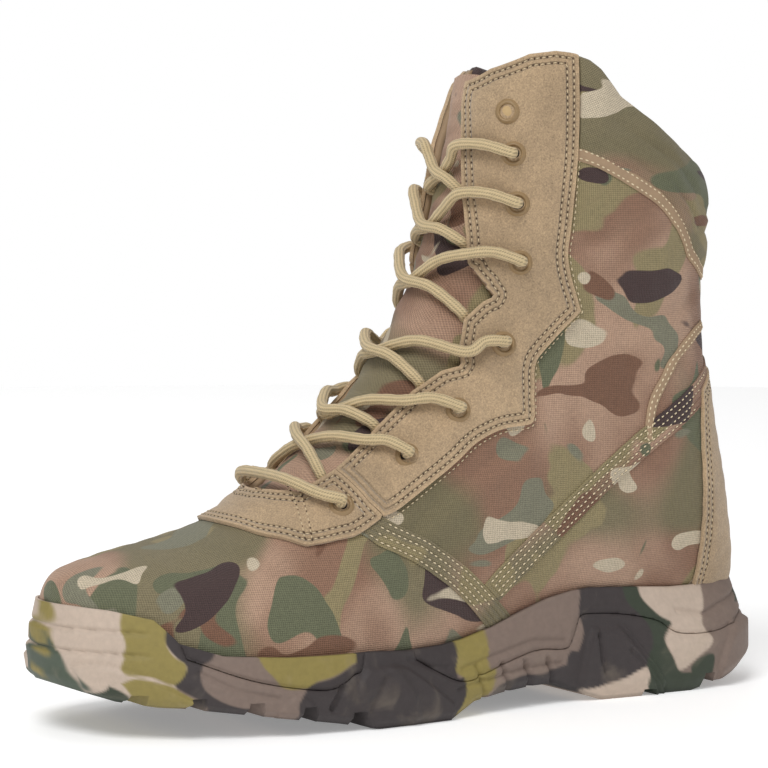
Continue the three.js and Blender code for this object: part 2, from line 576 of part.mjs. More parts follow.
// The padded collar is swept round the shaft. Each row of its section is the share of the way from its seam
// to the top, and how far it stands out of the shaft, as a share of the padding outside or inside.
const COLLAR_SECTION = [
  [-0.1, 0.1], [0.12, 0.7], [0.4, 1], [0.75, 0.9], [0.93, 0.35], [1, -0.25], [0.95, -0.75], [0.75, -1],
  [0.4, -1], [0.1, -0.7], [-0.1, -0.4], [-0.1, -0.15],
];
const COLLAR_STATIONS = 16;
const COLLAR_REACH = 0.74; // of the way from the back to the front
const COLLAR_ROWS = [13, LAST.length - 1]; // the rows of the last that the collar lies between
function makeCollar() {
  const rings = [];
  for (let i = 0; i <= COLLAR_STATIONS; i++) {
    const w = (2 * i) / COLLAR_STATIONS - 1;
    const side = w < 0 ? 1 : -1;
    const t = 1 - COLLAR_REACH * Math.abs(w);
    const placeOn = (line) => bisect((s) => {
      const p = lastPoint(s, t, side);
      return p.z - up(read(line, (p.x / LENGTH) * 100));
    }, ...COLLAR_ROWS);
    const [low, high] = [placeOn(COLLAR_LINE), placeOn(side > 0 ? TOP_LINE : INNER_TOP_LINE)];
    rings.push(COLLAR_SECTION.map(([v, d]) => {
      const padding = d > 0 ? COLLAR_OUT : COLLAR_IN;
      return offsetPoint(low + (high - low) * v, t, side, d * padding);
    }));
  }
  return loft(rings).intersect(above(COLLAR_LINE, CLEAR)).subtract(aheadOfCollar(CLEAR));
}

// The tongue lies under both facings and fills the throat.
const TONGUE_FROM = 5.9;
const TONGUE_TO = 16.3;
const TONGUE_LAP = 8; // under each facing
function makeTongue() {
  const outside = lastForm(-WALL - CLEAR);
  const inside = lastForm(-WALL - CLEAR - TONGUE_THICK);
  return outside.subtract(inside).intersect(throatBox(TONGUE_LAP, TONGUE_FROM, TONGUE_TO));
}

// Between two heights over the footbed
function bedSlab(low, high) {
  const line = BED_SHARES.map(([x]) => new THREE.Vector2(along(x), bed(along(x))));
  const lift = (d) => line.map((p) => new THREE.Vector2(p.x, p.y + d));
  return prism([...lift(low), ...lift(high).reverse()]);
}
const makeInsole = () => lastForm(-WALL - CLEAR, SINK).intersect(bedSlab(0, INSOLE_THICK));

// Eyelets and laces
const EYELET_SIDES = 8;
const EYELET_SLOPE = 1; // the ring's top is this much smaller than its foot
const EYELET_DISH = 0.7; // its height at the hole over its full height
function eyeletGeometry() {
  const profile = [
    [EYELET_HOLE, 0], [EYELET_OUTER, 0], [EYELET_OUTER - EYELET_SLOPE, EYELET_HEIGHT],
    [EYELET_HOLE, EYELET_HEIGHT * EYELET_DISH], [EYELET_HOLE, 0],
  ];
  return new THREE.LatheGeometry(profile.map(([r, z]) => new THREE.Vector2(r, z)), EYELET_SIDES);
}
// Where a flat ring lies on the suede: its plane is square to the last and clears the suede's highest
// point, which rays straight down onto it find.
const suedeFace = new THREE.Mesh(geometryOf(lastForm(CLEAR + SUEDE)));
const SEAT_START = 20; // the rays start this far out, in mm
const SEAT_RAYS = 24;
const SEAT_INNER = 0.6; // every other ray lies this share of the ring's radius from its middle
function seatOnSuede(s, t, side) {
  const normal = lastNormal(s, t, side);
  const start = offsetPoint(s, t, side, SEAT_START);
  const down = normal.clone().negate();
  const u = new THREE.Vector3(0, 1, 0).cross(normal).normalize();
  const v = new THREE.Vector3().crossVectors(normal, u);
  let nearest = Infinity;
  for (let i = 0; i < SEAT_RAYS; i++) {
    const angle = (2 * Math.PI * i) / SEAT_RAYS;
    const rim = EYELET_OUTER * (i % 2 ? 1 : SEAT_INNER);
    const from = start.clone().addScaledVector(u, rim * Math.cos(angle));
    from.addScaledVector(v, rim * Math.sin(angle));
    const [hit] = new THREE.Raycaster(from, down).intersectObject(suedeFace);
    nearest = Math.min(nearest, hit.distance);
  }
  return { point: start.addScaledVector(normal, CLEAR - nearest), normal };
}
const LACE_SIDES = 6;
const LACE_STEPS = 6;
function laceTube(points) {
  const circle = [];
  for (let i = 0; i < LACE_SIDES; i++) {
    const a = (2 * Math.PI * i) / LACE_SIDES;
    circle.push(new THREE.Vector2(Math.cos(a) * LACE_RADIUS, Math.sin(a) * LACE_RADIUS));
  }
  const extrudePath = new THREE.CatmullRomCurve3(points);
  const options = { steps: LACE_STEPS, bevelEnabled: false, extrudePath };
  return solidOf(new THREE.ExtrudeGeometry(new THREE.Shape(circle), options));
}
const OVER_SUEDE = SUEDE + 3 * CLEAR + LACE_RADIUS;
function overEyelet(i, side) {
  const { point, normal } = seatOnSuede(EYELETS[i][0], eyeletT(i, side), side);
  return point.addScaledVector(normal, EYELET_HEIGHT + 3 * CLEAR + LACE_RADIUS);
}
// The way of a strand. Near rows run from the edge it leaves to the crossing, far rows from the crossing to
// the eyelet. Each holds the share of that way, its t as a share of the throat edge's, its height over the
// last in mm and the share of the crossing's lift that it keeps.
const NEAR = [[0, 1, 0.2, 0], [0.5, 0.5, 0.2, 0.7]];
const CROSSING_HEIGHT = 0.4;
const FAR = [[0.3, 0.55, 2, 0.6], [0.58, 1.05, OVER_SUEDE + 0.5, 0]];
const LAST_REACH = 0.82; // the place between the edge and the eyelet, in the middle of the two
const LAST_RISE = 1;
function strand(k, side, lift) {
  const [s0, sCross] = CROSSINGS[k];
  const [s1, t1] = [EYELETS[k + 1][0], eyeletT(k + 1, -side)];
  const t0 = read(THROAT, s0) * (1 - (LACE_RADIUS + 2 * CLEAR) / Math.abs(throatEdge(s0, side)));
  const place = (share) => sCross + (s1 - sCross) * share;
  const edge = read(THROAT, place(FAR[1][0]));
  return laceTube([
    ...NEAR.map(([way, wide, high, kept]) => {
      return offsetPoint(s0 + (sCross - s0) * way, t0 * wide, side, high + lift * kept);
    }),
    offsetPoint(sCross, 0, side, CROSSING_HEIGHT + lift),
    ...FAR.map(([way, wide, high, kept]) => {
      return offsetPoint(place(way), edge * wide, -side, high + lift * kept);
    }),
    offsetPoint(place(LAST_REACH), (edge + t1) / 2, -side, OVER_SUEDE + LAST_RISE),
    overEyelet(k + 1, -side),
  ]);
}
// The bar over both lowest eyelets, whose middle lies in front of them
const BAR_RISE = 1.2; // over the suede between an eyelet and the throat
const BAR_INNER = [0.6, 0.4]; // then its t as a share of the throat edge's, and its rise
function laceBar() {
  const [s, t] = EYELETS[0];
  const edge = read(THROAT, s);
  const half = (side) => [
    overEyelet(0, side),
    offsetPoint((s + BAR_PLACE) / 2, (edge + t) / 2, side, OVER_SUEDE + BAR_RISE),
    offsetPoint(BAR_PLACE, edge * BAR_INNER[0], side, OVER_SUEDE + BAR_INNER[1]),
  ];
  return laceTube([...half(1), ...half(-1).reverse()]);
}

// Materials
const look = (color, roughness) => new THREE.MeshStandardMaterial({ color, roughness, metalness: 0 });
const CLOTH = look(0x9a8468, 0.85);
const SUEDE_LOOK = look(0xb89f78, 0.92);
const RUBBER = look(0x6f6458, 0.7);
const FOAM = look(0xa09472, 0.75);
const CORD = look(0xc4ad84, 0.8);
const LINING = look(0x8d7453, 0.85);

const root = new THREE.Group();
function addPart(name, geometry, material) {
  const mesh = new THREE.Mesh(geometry, material);
  mesh.name = name;
  root.add(mesh);
  return mesh;
}
const { midsole, outsole } = makeSole();
addPart("outsole", geometryOf(outsole), RUBBER);
addPart("midsole", geometryOf(midsole), FOAM);
addPart("insole", geometryOf(makeInsole()), LINING);
addPart("upper", geometryOf(makeUpper()), CLOTH);
addPart("tongue", geometryOf(makeTongue()), CLOTH);
addPart("collar", geometryOf(makeCollar()), CLOTH);
addPart("facing_outer", geometryOf(facingOuter), SUEDE_LOOK);
addPart("facing_inner", geometryOf(facingInner), SUEDE_LOOK);
addPart("vamp_saddle", geometryOf(saddle), SUEDE_LOOK);
addPart("backstay", geometryOf(backstay), SUEDE_LOOK);
for (const [label, side] of [["outer", 1], ["inner", -1]]) {
  EYELETS.forEach(([s], i) => {
    const eyelet = addPart(`eyelet_${label}_${i + 1}`, eyeletGeometry(), CORD);
    const seat = seatOnSuede(s, eyeletT(i, side), side);
    eyelet.position.copy(seat.point);
    eyelet.quaternion.setFromUnitVectors(new THREE.Vector3(0, 1, 0), seat.normal);
  });
}
addPart("lace_bar", geometryOf(laceBar()), CORD);
for (let k = 0; k + 2 < EYELETS.length; k++) {
  addPart(`lace_crossing_${k + 1}`, geometryOf(strand(k, 1, CROSS_LIFT).add(strand(k, -1, 0))), CORD);
}
const box = new THREE.Box3().setFromObject(root);
root.position.set(-(box.min.x + box.max.x) / 2, -(box.min.y + box.max.y) / 2, 0);
export default root;
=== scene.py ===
"""Looks of an eight-inch laced field boot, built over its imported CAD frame.

Sizes are in millimetres in the same frame as the CAD until a mesh is made, and every mesh is in metres. A
place on the boot is a pair: s, the place in the last's table of sections, and u, the way round that section
from the front ridge, 0, over the outer side to the bottom or back, 1, or over the inner side to -1.
"""

from __future__ import annotations

import logging
import math
from dataclasses import dataclass, field
from enum import Enum
from typing import Callable, Optional, Sequence

import bmesh
import bpy
import numpy as np
from mathutils import Matrix, Vector
from mathutils.kdtree import KDTree

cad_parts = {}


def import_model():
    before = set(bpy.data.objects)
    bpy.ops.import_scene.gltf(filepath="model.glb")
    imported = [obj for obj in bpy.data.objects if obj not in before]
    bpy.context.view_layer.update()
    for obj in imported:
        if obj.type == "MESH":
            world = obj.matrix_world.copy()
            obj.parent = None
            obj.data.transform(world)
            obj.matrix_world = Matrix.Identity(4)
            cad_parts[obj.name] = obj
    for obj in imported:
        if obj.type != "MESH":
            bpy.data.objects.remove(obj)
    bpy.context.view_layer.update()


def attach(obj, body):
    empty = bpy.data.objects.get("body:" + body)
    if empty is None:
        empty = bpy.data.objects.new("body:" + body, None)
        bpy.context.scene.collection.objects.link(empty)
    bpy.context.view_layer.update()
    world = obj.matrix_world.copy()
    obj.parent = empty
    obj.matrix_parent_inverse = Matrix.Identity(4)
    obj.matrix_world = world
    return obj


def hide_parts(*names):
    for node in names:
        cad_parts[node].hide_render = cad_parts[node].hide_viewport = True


Array = np.ndarray
Pairs = Sequence[Sequence[float]]

log = logging.getLogger("boot")

MM = 0.001
LENGTH, BALL_WIDTH, HEIGHT = 300.0, 107.0, 242.0  # of the sole, across the ball, and up to the facings' top
PERCENT = np.array([LENGTH, HEIGHT]) / 100
ACROSS = BALL_WIDTH / 100
CENTRE = np.array([-1.159, -1.468, 0.0])  # moves the tables' frame onto the middle of the boot's box

# Lines in side view, x in hundredths of the sole's length and z in hundredths of the height. The bands,
# the rear tape and the saddle's seam are given by their middle, the other pieces by their edge.
COLLAR_TOP = (
    (-46, 78), (-42, 79), (-38, 81.5), (-32.5, 85.2), (-26.6, 90), (-22.6, 93.2), (-21.2, 95.4),
)
TOP_LINE = COLLAR_TOP + (
    (-19.9, 97.4), (-18.5, 98.7), (-16.5, 99.6), (-14.5, 100), (-12, 99.5), (-9, 97.2), (-6.3, 93), (-3, 87),
)
INNER_TOP_LINE = COLLAR_TOP + ((-19.6, 97.2), (-17.6, 97.8), (-14.4, 95), (-12, 91), (-7, 83), (-3, 76))
COLLAR_LINE = (
    (-46, 65.3), (-40, 66.4), (-36.1, 68.8), (-33.7, 73.1), (-29.8, 77.8), (-25.6, 80.9), (-20.3, 84.3),
    (-16.9, 85.8),
)
FACING_REAR = -16.9
FACING_EDGE = (
    (-16.9, 85.8), (-16.3, 74), (-16.0, 67.6), (-17.6, 60.3), (-12.4, 54.4), (-11.0, 52.0), (-10.6, 48.0),
    (-10.3, 44.2), (-9.4, 43.3), (-5.9, 42.8), (-2.3, 41.0), (0.7, 38.2), (3.7, 35.7), (8.8, 31.8),
    (11.08, 30.6),
)
FACING_FOOT = ((11.08, 30.6), (14.88, 37.9))
FACING = ((-16.9, 104),) + FACING_EDGE + (FACING_FOOT[1], (24, 56), (24, 104))
SADDLE = (
    (11.2, 30.6), (14.7, 28.3), (17.9, 27.5), (20.4, 27.0), (21.6, 27.1), (25.6, 28.8), (28.8, 30.0),
    (31.6, 30.4), (36, 36), (24.3, 55.4), (15.0, 37.9),
)
BACKSTAY = ((-37.1, 47), (-36.7, 40), (-37.0, 32), (-37.0, 12), (-52, 12), (-52, 53), (-41, 50))
QUARTER_BAND = ((-47, 53.4), (-36.7, 46.8), (-26.4, 39.2), (-16, 30), (-6.3, 21.1), (-2.3, 16.9))
VAMP_BAND = ((15, 31.6), (11.4, 28.4), (6.7, 25.4), (1.3, 20.8), (-3, 16), (-8, 10.5))
REAR_TAPE = (
    (-38.4, 57.2), (-35.6, 55.8), (-32.5, 53.0), (-29.7, 48.8), (-28.2, 45.5), (-27.7, 42.3), (-27.6, 39.5),
)
SADDLE_SEAM = ((19.0, 35.6), (20.6, 27.6))

# The throat's edge as places s and u. Then, from the lowest one up, each eyelet's s and its u on both sides,
# and for each pair of laces the s at which they leave the throat's edge and the s at which they cross.
THROAT = (
    (6.2, 0.01), (6.28, 0.055), (6.42, 0.095), (6.68, 0.141), (7.5, 0.161), (8.73, 0.169), (9.53, 0.184),
    (9.88, 0.2), (10.18, 0.213), (10.55, 0.243), (10.8, 0.216), (11.18, 0.199), (11.71, 0.218), (12.0, 0.236),
    (12.1, 0.156), (13.4, 0.091), (14.5, 0.06), (15.5, 0.034), (18, 0.025),
)
EYELETS = (
    (7.21, 0.235, 0.235), (8.83, 0.262, 0.262), (10.0, 0.286, 0.286), (11.47, 0.288, 0.288),
    (13.04, 0.259, 0.259), (14.15, 0.234, 0.234), (15.12, 0.212, 0.212), (15.9, 0.182, 0.29),
)
CROSSINGS = ((7.27, 7.6), (8.65, 8.35), (9.75, 9.7), (11.25, 11.2), (12.4, 12.4), (13.5, 13.8))
BAR_PLACE = 6.6


class Side(Enum):
    """The two sides of the boot, as the sign of u."""

    OUTER = 1
    INNER = -1


def in_mm(points: Pairs) -> Array:
    """Side-view points in mm."""
    return np.array(points, float) * PERCENT


def read(pairs: Pairs, x: Array) -> Array:
    """Reads a table of [x, value] rows, linearly.

    Args:
        pairs: The rows, in rising x.
        x: Where to read.

    Returns:
        The values at x.
    """
    return np.interp(x, [p[0] for p in pairs], [p[1] for p in pairs])


def blend(values: Array, s: Array) -> Array:
    """Catmull-Rom values through a column of a table at places s.

    Args:
        values: The column.
        s: Places, whole numbers at its rows.

    Returns:
        The values at s.
    """
    last = len(values) - 1
    i = np.clip(np.floor(s), 0, last - 1).astype(int)
    f = s - i
    a, b = values[np.clip(i - 1, 0, last)], values[i]
    c, d = values[i + 1], values[np.clip(i + 2, 0, last)]
    return b + 0.5 * f * (c - a + f * (2 * a - 5 * b + 4 * c - d + f * (3 * (b - c) + d - a)))


def length_along(line: Array) -> Array:
    """The way along a line to each of its points."""
    return np.concatenate([[0], np.cumsum(np.linalg.norm(np.diff(line, axis=0), axis=1))])


def read_rows(where: Array, run: Array, rows: Array) -> Array:
    """Rows of three numbers, read linearly at places along a line."""
    return np.stack([np.interp(where, run, rows[:, k]) for k in range(3)], axis=1)


def smooth_step(x: Array, low: float, high: float) -> Array:
    """0 below low, 1 above high, and a soft S between them."""
    t = np.clip((x - low) / (high - low), 0, 1)
    return t * t * (3 - 2 * t)


def unit(v: Array) -> Array:
    """The rows of v, each at length one."""
    return v / np.maximum(np.linalg.norm(v, axis=-1, keepdims=True), 1e-9)


def mirrored(span: tuple[float, float], side: Side) -> tuple[float, float]:
    """A span of the way round on the outer side, as it lies on a side."""
    return span if side is Side.OUTER else (-span[1], -span[0])


def bed(x: Array) -> Array:
    """Height of the footbed in mm at x in mm.

    Args:
        x: Places along the boot.

    Returns:
        The heights.
    """
    shares = (
        (-50, 1), (-20, 0.93), (-10, 0.68), (0, 0.38), (10, 0.12), (20, 0), (28, 0.02), (36, 0.22),
        (44, 0.55), (50, 0.8),
    )
    return Last.ball_bed + (Last.heel_bed - Last.ball_bed) * read(shares, x / LENGTH * 100)


# Front x and z, back x and z (under the footbed where none is given), outer and inner half width, the share
# of the way to the front that is widest, squareness in front and behind, and shift to the outer side
SECTIONS = (
    (49.0, 18.6, 49.0, None, 45.5, 42.5, 0.42, 2.0, 2.6, -4.5),
    (48.6, 21.4, 48.4, None, 45.5, 42.5, 0.40, 2.0, 2.6, -4.3),
    (46.6, 23.8, 46.2, None, 45.6, 42.6, 0.38, 2.1, 2.7, -3.8),
    (41.2, 25.7, 40.4, None, 46.0, 43.0, 0.34, 2.1, 2.8, -2.6),
    (34.4, 27.5, 32.9, None, 46.8, 43.0, 0.31, 2.0, 3.0, -1.4),
    (27.9, 29.7, 25.7, None, 47.2, 42.6, 0.30, 1.95, 3.1, -0.6),
    (22.9, 33.0, 19.2, None, 47.0, 41.8, 0.29, 1.9, 3.1, 0),
    (17.8, 37.8, 12.2, None, 45.4, 39.8, 0.30, 1.9, 3.0, 0.4),
    (13.0, 42.8, 4.5, None, 42.8, 37.0, 0.32, 1.95, 2.9, 0.8),
    (8.1, 49.2, -4.5, None, 40.0, 35.0, 0.36, 2.0, 2.8, 1.2),
    (3.6, 56.2, -15, None, 38.0, 34.4, 0.40, 2.1, 2.7, 1.4),
    (0.1, 63.3, -26.5, None, 36.6, 34.4, 0.43, 2.2, 2.5, 1.2),
    (-2.4, 70.5, -38, None, 35.8, 34.4, 0.45, 2.3, 2.3, 1.0),
    (-4.1, 76.7, -45.8, 13.5, 35.6, 34.6, 0.46, 2.4, 2.2, 0.8),
    (-5.4, 82.4, -45.8, 25.5, 36.0, 35.2, 0.47, 2.4, 2.1, 0.6),
    (-6.5, 88.2, -43.6, 39.0, 36.8, 36.2, 0.48, 2.4, 2.1, 0.4),
    (-7.5, 94.3, -42.0, 53.0, 38.0, 37.6, 0.49, 2.4, 2.1, 0.2),
    (-8.6, 100.7, -41.6, 68.0, 39.2, 39.0, 0.50, 2.4, 2.1, 0),
    (-9.8, 107.8, -41.9, 88.0, 39.6, 39.6, 0.50, 2.4, 2.1, 0),
)


@dataclass(frozen=True)
class Crease:
    """A soft trough or ridge along a line in side view.

    Attributes:
        line: Points [x, z] in hundredths, as the outlines.
        height: In mm, below zero for a trough.
        width: Half width in mm.
        sides: The sides of the boot that show it.
    """

    line: Pairs
    height: float
    width: float
    sides: tuple[Side, ...] = (Side.OUTER, Side.INNER)

    def over(self, flat: Array) -> Array:
        """Its height at side-view points in mm."""
        return self.height * np.exp(-((nearest_on(in_mm(self.line), flat) / self.width) ** 2))


class Last:
    """The form that the upper is pulled over, as functions of a place (s, u)."""

    heel_bed = 31.0
    ball_bed = 16.0
    sink = 8.0
    toe_round_from = 19.0
    toe_tip = 49.2
    toe_round_power = 2.25
    end = float(len(SECTIONS) - 1)

    def __init__(self, creases: Sequence[Crease] = ()) -> None:
        """Reads the table of sections and measures the way round each.

        Args:
            creases: The folds that every piece on the last shares.
        """
        self.creases = creases
        columns = [list(column) for column in zip(*SECTIONS)]
        low = [
            float(bed(x * LENGTH / 100)) - self.sink if z is None else z * HEIGHT / 100
            for x, z in zip(columns[2], columns[3])
        ]
        self.front_x = np.array(columns[0])
        self.front_z = np.array(columns[1]) * HEIGHT / 100
        self.back_x = np.array(columns[2], float)
        self.back_z = np.array(low)
        self.outer, self.inner = (np.array(columns[k]) * BALL_WIDTH / 100 for k in (4, 5))
        self.widest, self.square_front, self.square_back = (np.array(columns[k], float) for k in (6, 7, 8))
        self.shift = np.array(columns[9], float) * BALL_WIDTH / 100
        self._measure()

    def _measure(self) -> None:
        """Fills the table that turns an even way round a section, q, into u."""
        self.table_s = np.linspace(0, self.end, 181)
        t = np.linspace(0, 1, 161)
        self.table_q = np.linspace(0, 1, 129)
        self.turns = {}
        for side in Side:
            rows = []
            for s in self.table_s:
                way = self.point(np.full_like(t, s), side.value * t)
                steps = np.linalg.norm(np.diff(way, axis=0), axis=1)
                run = np.concatenate([[0], np.cumsum(steps)])
                rows.append(np.interp(self.table_q, run / max(run[-1], 1e-6), t))
            self.turns[side] = np.array(rows)

    def turn(self, s: Array, q: Array) -> Array:
        """The u of a place that lies the share q of the way round its section.

        Args:
            s: Places in the table of sections.
            q: Shares of the way round, below zero on the inner side.

        Returns:
            The values of u.
        """
        row = np.clip(s / self.end * 180, 0, 179.999)
        col = np.clip(np.abs(q) * 128, 0, 127.999)
        i, j = row.astype(int), col.astype(int)
        f, g = row - i, col - j
        out = np.zeros_like(q)
        for side in Side:
            table = self.turns[side]
            near = table[i, j] * (1 - g) + table[i, j + 1] * g
            far = table[i + 1, j] * (1 - g) + table[i + 1, j + 1] * g
            out = np.where(np.sign(q) * side.value >= 0, side.value * (near * (1 - f) + far * f), out)
        return out

    def section(self, s: Array) -> dict[str, Array]:
        """The values of the section at s, in mm.

        Args:
            s: Places in the table of sections.

        Returns:
            Each value by its name.
        """
        front = blend(self.front_x, s)
        closing = np.clip((front - self.toe_round_from) / (self.toe_tip - self.toe_round_from), 0, 1)
        round_off = (1 - closing**self.toe_round_power) ** (1 / self.toe_round_power)
        return {
            "fx": front * LENGTH / 100,
            "fz": blend(self.front_z, s),
            "bx": blend(self.back_x, s) * LENGTH / 100,
            "bz": blend(self.back_z, s),
            "outer": blend(self.outer, s) * round_off,
            "inner": blend(self.inner, s) * round_off,
            "widest": blend(self.widest, s),
            "sf": blend(self.square_front, s),
            "sb": blend(self.square_back, s),
            "shift": blend(self.shift, s),
        }

    def point(self, s: Array, u: Array) -> Array:
        """Points of the bare last at places (s, u).

        Args:
            s: Places in the table of sections.
            u: The way round the sections.

        Returns:
            Points in mm.
        """
        row = self.section(np.clip(s, 0, self.end))
        t = np.clip(np.abs(u), 0, 1)
        c = np.cos(np.pi * t)
        square = np.where(c >= 0, row["sf"], row["sb"])
        reach = np.abs(c) ** (2 / square)
        share = np.where(c >= 0, row["widest"] + (1 - row["widest"]) * reach, row["widest"] * (1 - reach))
        half = np.where(u >= 0, row["outer"], row["inner"])
        wide = np.maximum(np.sin(np.pi * t), 0) ** (2 / square) * half
        x = row["bx"] + (row["fx"] - row["bx"]) * share
        z = row["bz"] + (row["fz"] - row["bz"]) * share
        return np.stack([x, row["shift"] + np.where(u >= 0, wide, -wide), z], axis=-1)

    def normal(self, s: Array, u: Array) -> Array:
        """Outward normals of the bare last.

        Args:
            s: Places in the table of sections.
            u: The way round the sections.

        Returns:
            Unit vectors.
        """
        e, w = 0.02, 0.012
        ds = self.point(np.minimum(s + e, self.end), u) - self.point(np.maximum(s - e, 0), u)
        inside = np.clip(u, -1 + w, 1 - w)
        du = self.point(s, inside + w) - self.point(s, inside - w)
        return unit(np.cross(du, ds))

    def relief(self, at: Array) -> Array:
        """Height in mm that the folds add at points of the last.

        Args:
            at: Points in mm.

        Returns:
            The heights.
        """
        x, z = at[..., 0] / LENGTH * 100, at[..., 2] / HEIGHT * 100
        out = np.zeros_like(x)
        for crease in self.creases:
            shape = crease.over(at[..., [0, 2]])
            for side in crease.sides:
                out += np.where(np.sign(at[..., 1]) == side.value, shape, 0)
        pucker = 0.18 * np.sin(x * 1.7 + z * 0.6) * np.sin(z * 0.9 - x * 0.35)
        return out + pucker

    def skin(self, s: Array, u: Array, offset: Array | float) -> Array:
        """Points that lie offset mm outside the folded last."""
        at = self.point(s, u)
        return at + self.normal(s, u) * (offset + self.relief(at))[..., None]

    def laid(self, flat: Array, side: Side, offset: float) -> tuple[Array, Array]:
        """A side-view line in mm on one side of the folded last, as points and normals."""
        s, u = self.place(flat[:, 0], flat[:, 1], side)
        return self.skin(s, u, offset), self.normal(s, u)

    def round_rate(self, s: Array, u: Array) -> Array:
        """How many mm one unit of u is long at places (s, u)."""
        e = 0.01
        return np.linalg.norm(self.point(s, np.abs(u) + e) - self.point(s, np.abs(u)), axis=-1) / e

    def place(self, x: Array, z: Array, side: Side) -> tuple[Array, Array]:
        """Finds the place whose side view is at x, z.

        Args:
            x: In mm.
            z: In mm.
            side: The side of the boot.

        Returns:
            The arrays s and u.
        """

        def cross(s: Array) -> Array:
            row = self.section(s)
            return (x - row["fx"]) * (row["bz"] - row["fz"]) - (z - row["fz"]) * (row["bx"] - row["fx"])

        low, high = np.zeros_like(x), np.full_like(x, self.end)
        rising = cross(high) > cross(low)
        for _ in range(32):
            middle = (low + high) / 2
            over = (cross(middle) > 0) == rising
            high, low = np.where(over, middle, high), np.where(over, low, middle)
        s = (low + high) / 2
        row = self.section(s)
        dx, dz = row["fx"] - row["bx"], row["fz"] - row["bz"]
        share = np.clip(((x - row["bx"]) * dx + (z - row["bz"]) * dz) / (dx * dx + dz * dz), 0, 1)
        wide = row["widest"]
        front = share >= wide
        reach = np.where(front, (share - wide) / (1 - wide), 1 - share / wide)
        square = np.where(front, row["sf"], row["sb"])
        angle = np.arccos(np.clip(reach ** (square / 2), 0, 1)) / np.pi
        return s, side.value * np.where(front, angle, 1 - angle)


def nearest_on(line: Array, points: Array) -> Array:
    """Distances from points to an open line, both in the same plane.

    Args:
        line: The line's points.
        points: The points.

    Returns:
        One distance for each point.
    """
    best = np.full(points.shape[:-1], 1e9)
    for a, b in zip(line[:-1], line[1:]):
        d = b - a
        t = np.clip(((points - a) @ d) / max(float(d @ d), 1e-9), 0, 1)
        best = np.minimum(best, np.linalg.norm(points - (a + t[..., None] * d), axis=-1))
    return best


def rounded(points: Pairs, closed: bool, sharp: float = 48.0, steps: int = 6) -> Array:
    """A line in mm through side-view shares, bent softly except where it turns sharply.

    Args:
        points: Side-view shares.
        closed: Whether the line returns to its start.
        sharp: Turns over this many degrees stay corners.
        steps: Points for each stretch.

    Returns:
        The points of the line.
    """
    p = in_mm(points)
    n = len(p)

    def corner(i: int) -> bool:
        if not closed and i in (0, n - 1):
            return True
        a, b = p[i] - p[i - 1], p[(i + 1) % n] - p[i]
        cosine = float(a @ b) / max(np.linalg.norm(a) * np.linalg.norm(b), 1e-9)
        return math.degrees(math.acos(max(-1.0, min(1.0, cosine)))) > sharp

    out = []
    for i in range(n if closed else n - 1):
        j = (i + 1) % n
        before = p[i] * 2 - p[j] if corner(i) else p[i - 1]
        after = p[j] * 2 - p[i] if corner(j) else p[(j + 1) % n]
        column = np.array([before, p[i], p[j], after])
        out += [[blend(column[:, k], np.array(1 + step / steps)) for k in (0, 1)] for step in range(steps)]
    if not closed:
        out.append(p[-1])
    return np.array(out, float)


def outside(loop: Array, points: Array) -> Array:
    """Signed distances in mm from points to a closed loop, below zero inside it.

    Args:
        loop: The loop's corners.
        points: The points.

    Returns:
        One distance for each point.
    """
    far = nearest_on(np.vstack([loop, loop[:1]]), points)
    inside = np.zeros(points.shape[:-1], bool)
    px, pz = points[..., 0], points[..., 1]
    for (ax, az), (bx, bz) in zip(loop, np.roll(loop, -1, axis=0)):
        if az != bz:
            crosses = (az > pz) != (bz > pz)
            inside ^= crosses & (px < (bx - ax) * (pz - az) / (bz - az) + ax)
    return np.where(inside, -far, far)


Region = Callable[[Array, Array, Array], Array]


class Bounds:
    """The edges of the upper's pieces, as signed distances in mm at places of the last."""

    slope = 0.8  # distance from a side-view line for each mm over it

    def __init__(self, last: Last) -> None:
        """Keeps the last that the places are on."""
        self.last = last

    def throat(self, s: Array, u: Array) -> Array:
        """Above zero in the throat.

        Args:
            s: Places in the table of sections.
            u: The way round the sections.

        Returns:
            About the distance in mm from its edge.
        """
        e = 0.01
        length = np.linalg.norm(self.last.point(s + e, u) - self.last.point(s - e, u), axis=-1) / (2 * e)
        wide = (read(THROAT, s) - np.abs(u)) * self.last.round_rate(s, u)
        return np.minimum(wide, (s - THROAT[0][0]) * length)

    def top(self, at: Array) -> Array:
        """Above zero over the top line."""
        x = at[..., 0] / LENGTH * 100
        lines = [read(line, x) * HEIGHT / 100 for line in (TOP_LINE, INNER_TOP_LINE)]
        return (at[..., 2] - np.where(at[..., 1] >= 0, lines[0], lines[1])) * self.slope

    def collar(self, at: Array) -> Array:
        """Above zero where the padded collar is."""
        x = at[..., 0] / LENGTH * 100
        over = (at[..., 2] - read(COLLAR_LINE, x) * HEIGHT / 100) * self.slope
        return np.minimum(over, FACING_REAR * LENGTH / 100 - at[..., 0])

    def overlay(self, outline: Array) -> Region:
        """The region of a piece that is sewn on inside an outline.

        Args:
            outline: Its corners in side view, in mm.

        Returns:
            The region.
        """

        def region(s: Array, u: Array, at: Array) -> Array:
            edge = outside(outline, at[..., [0, 2]])
            return np.maximum.reduce([edge, self.throat(s, u), self.top(at)])

        return region

    def panel(self, outline: Array) -> Region:
        """The region of a cloth band inside an outline."""
        return lambda s, u, at: outside(outline, at[..., [0, 2]])

    def upper(self, s: Array, u: Array, at: Array) -> Array:
        """The region of the hollow cloth upper."""
        low = bed(at[..., 0]) - 4 - at[..., 2]
        return np.maximum.reduce([self.throat(s, u), self.top(at), self.collar(at), low])


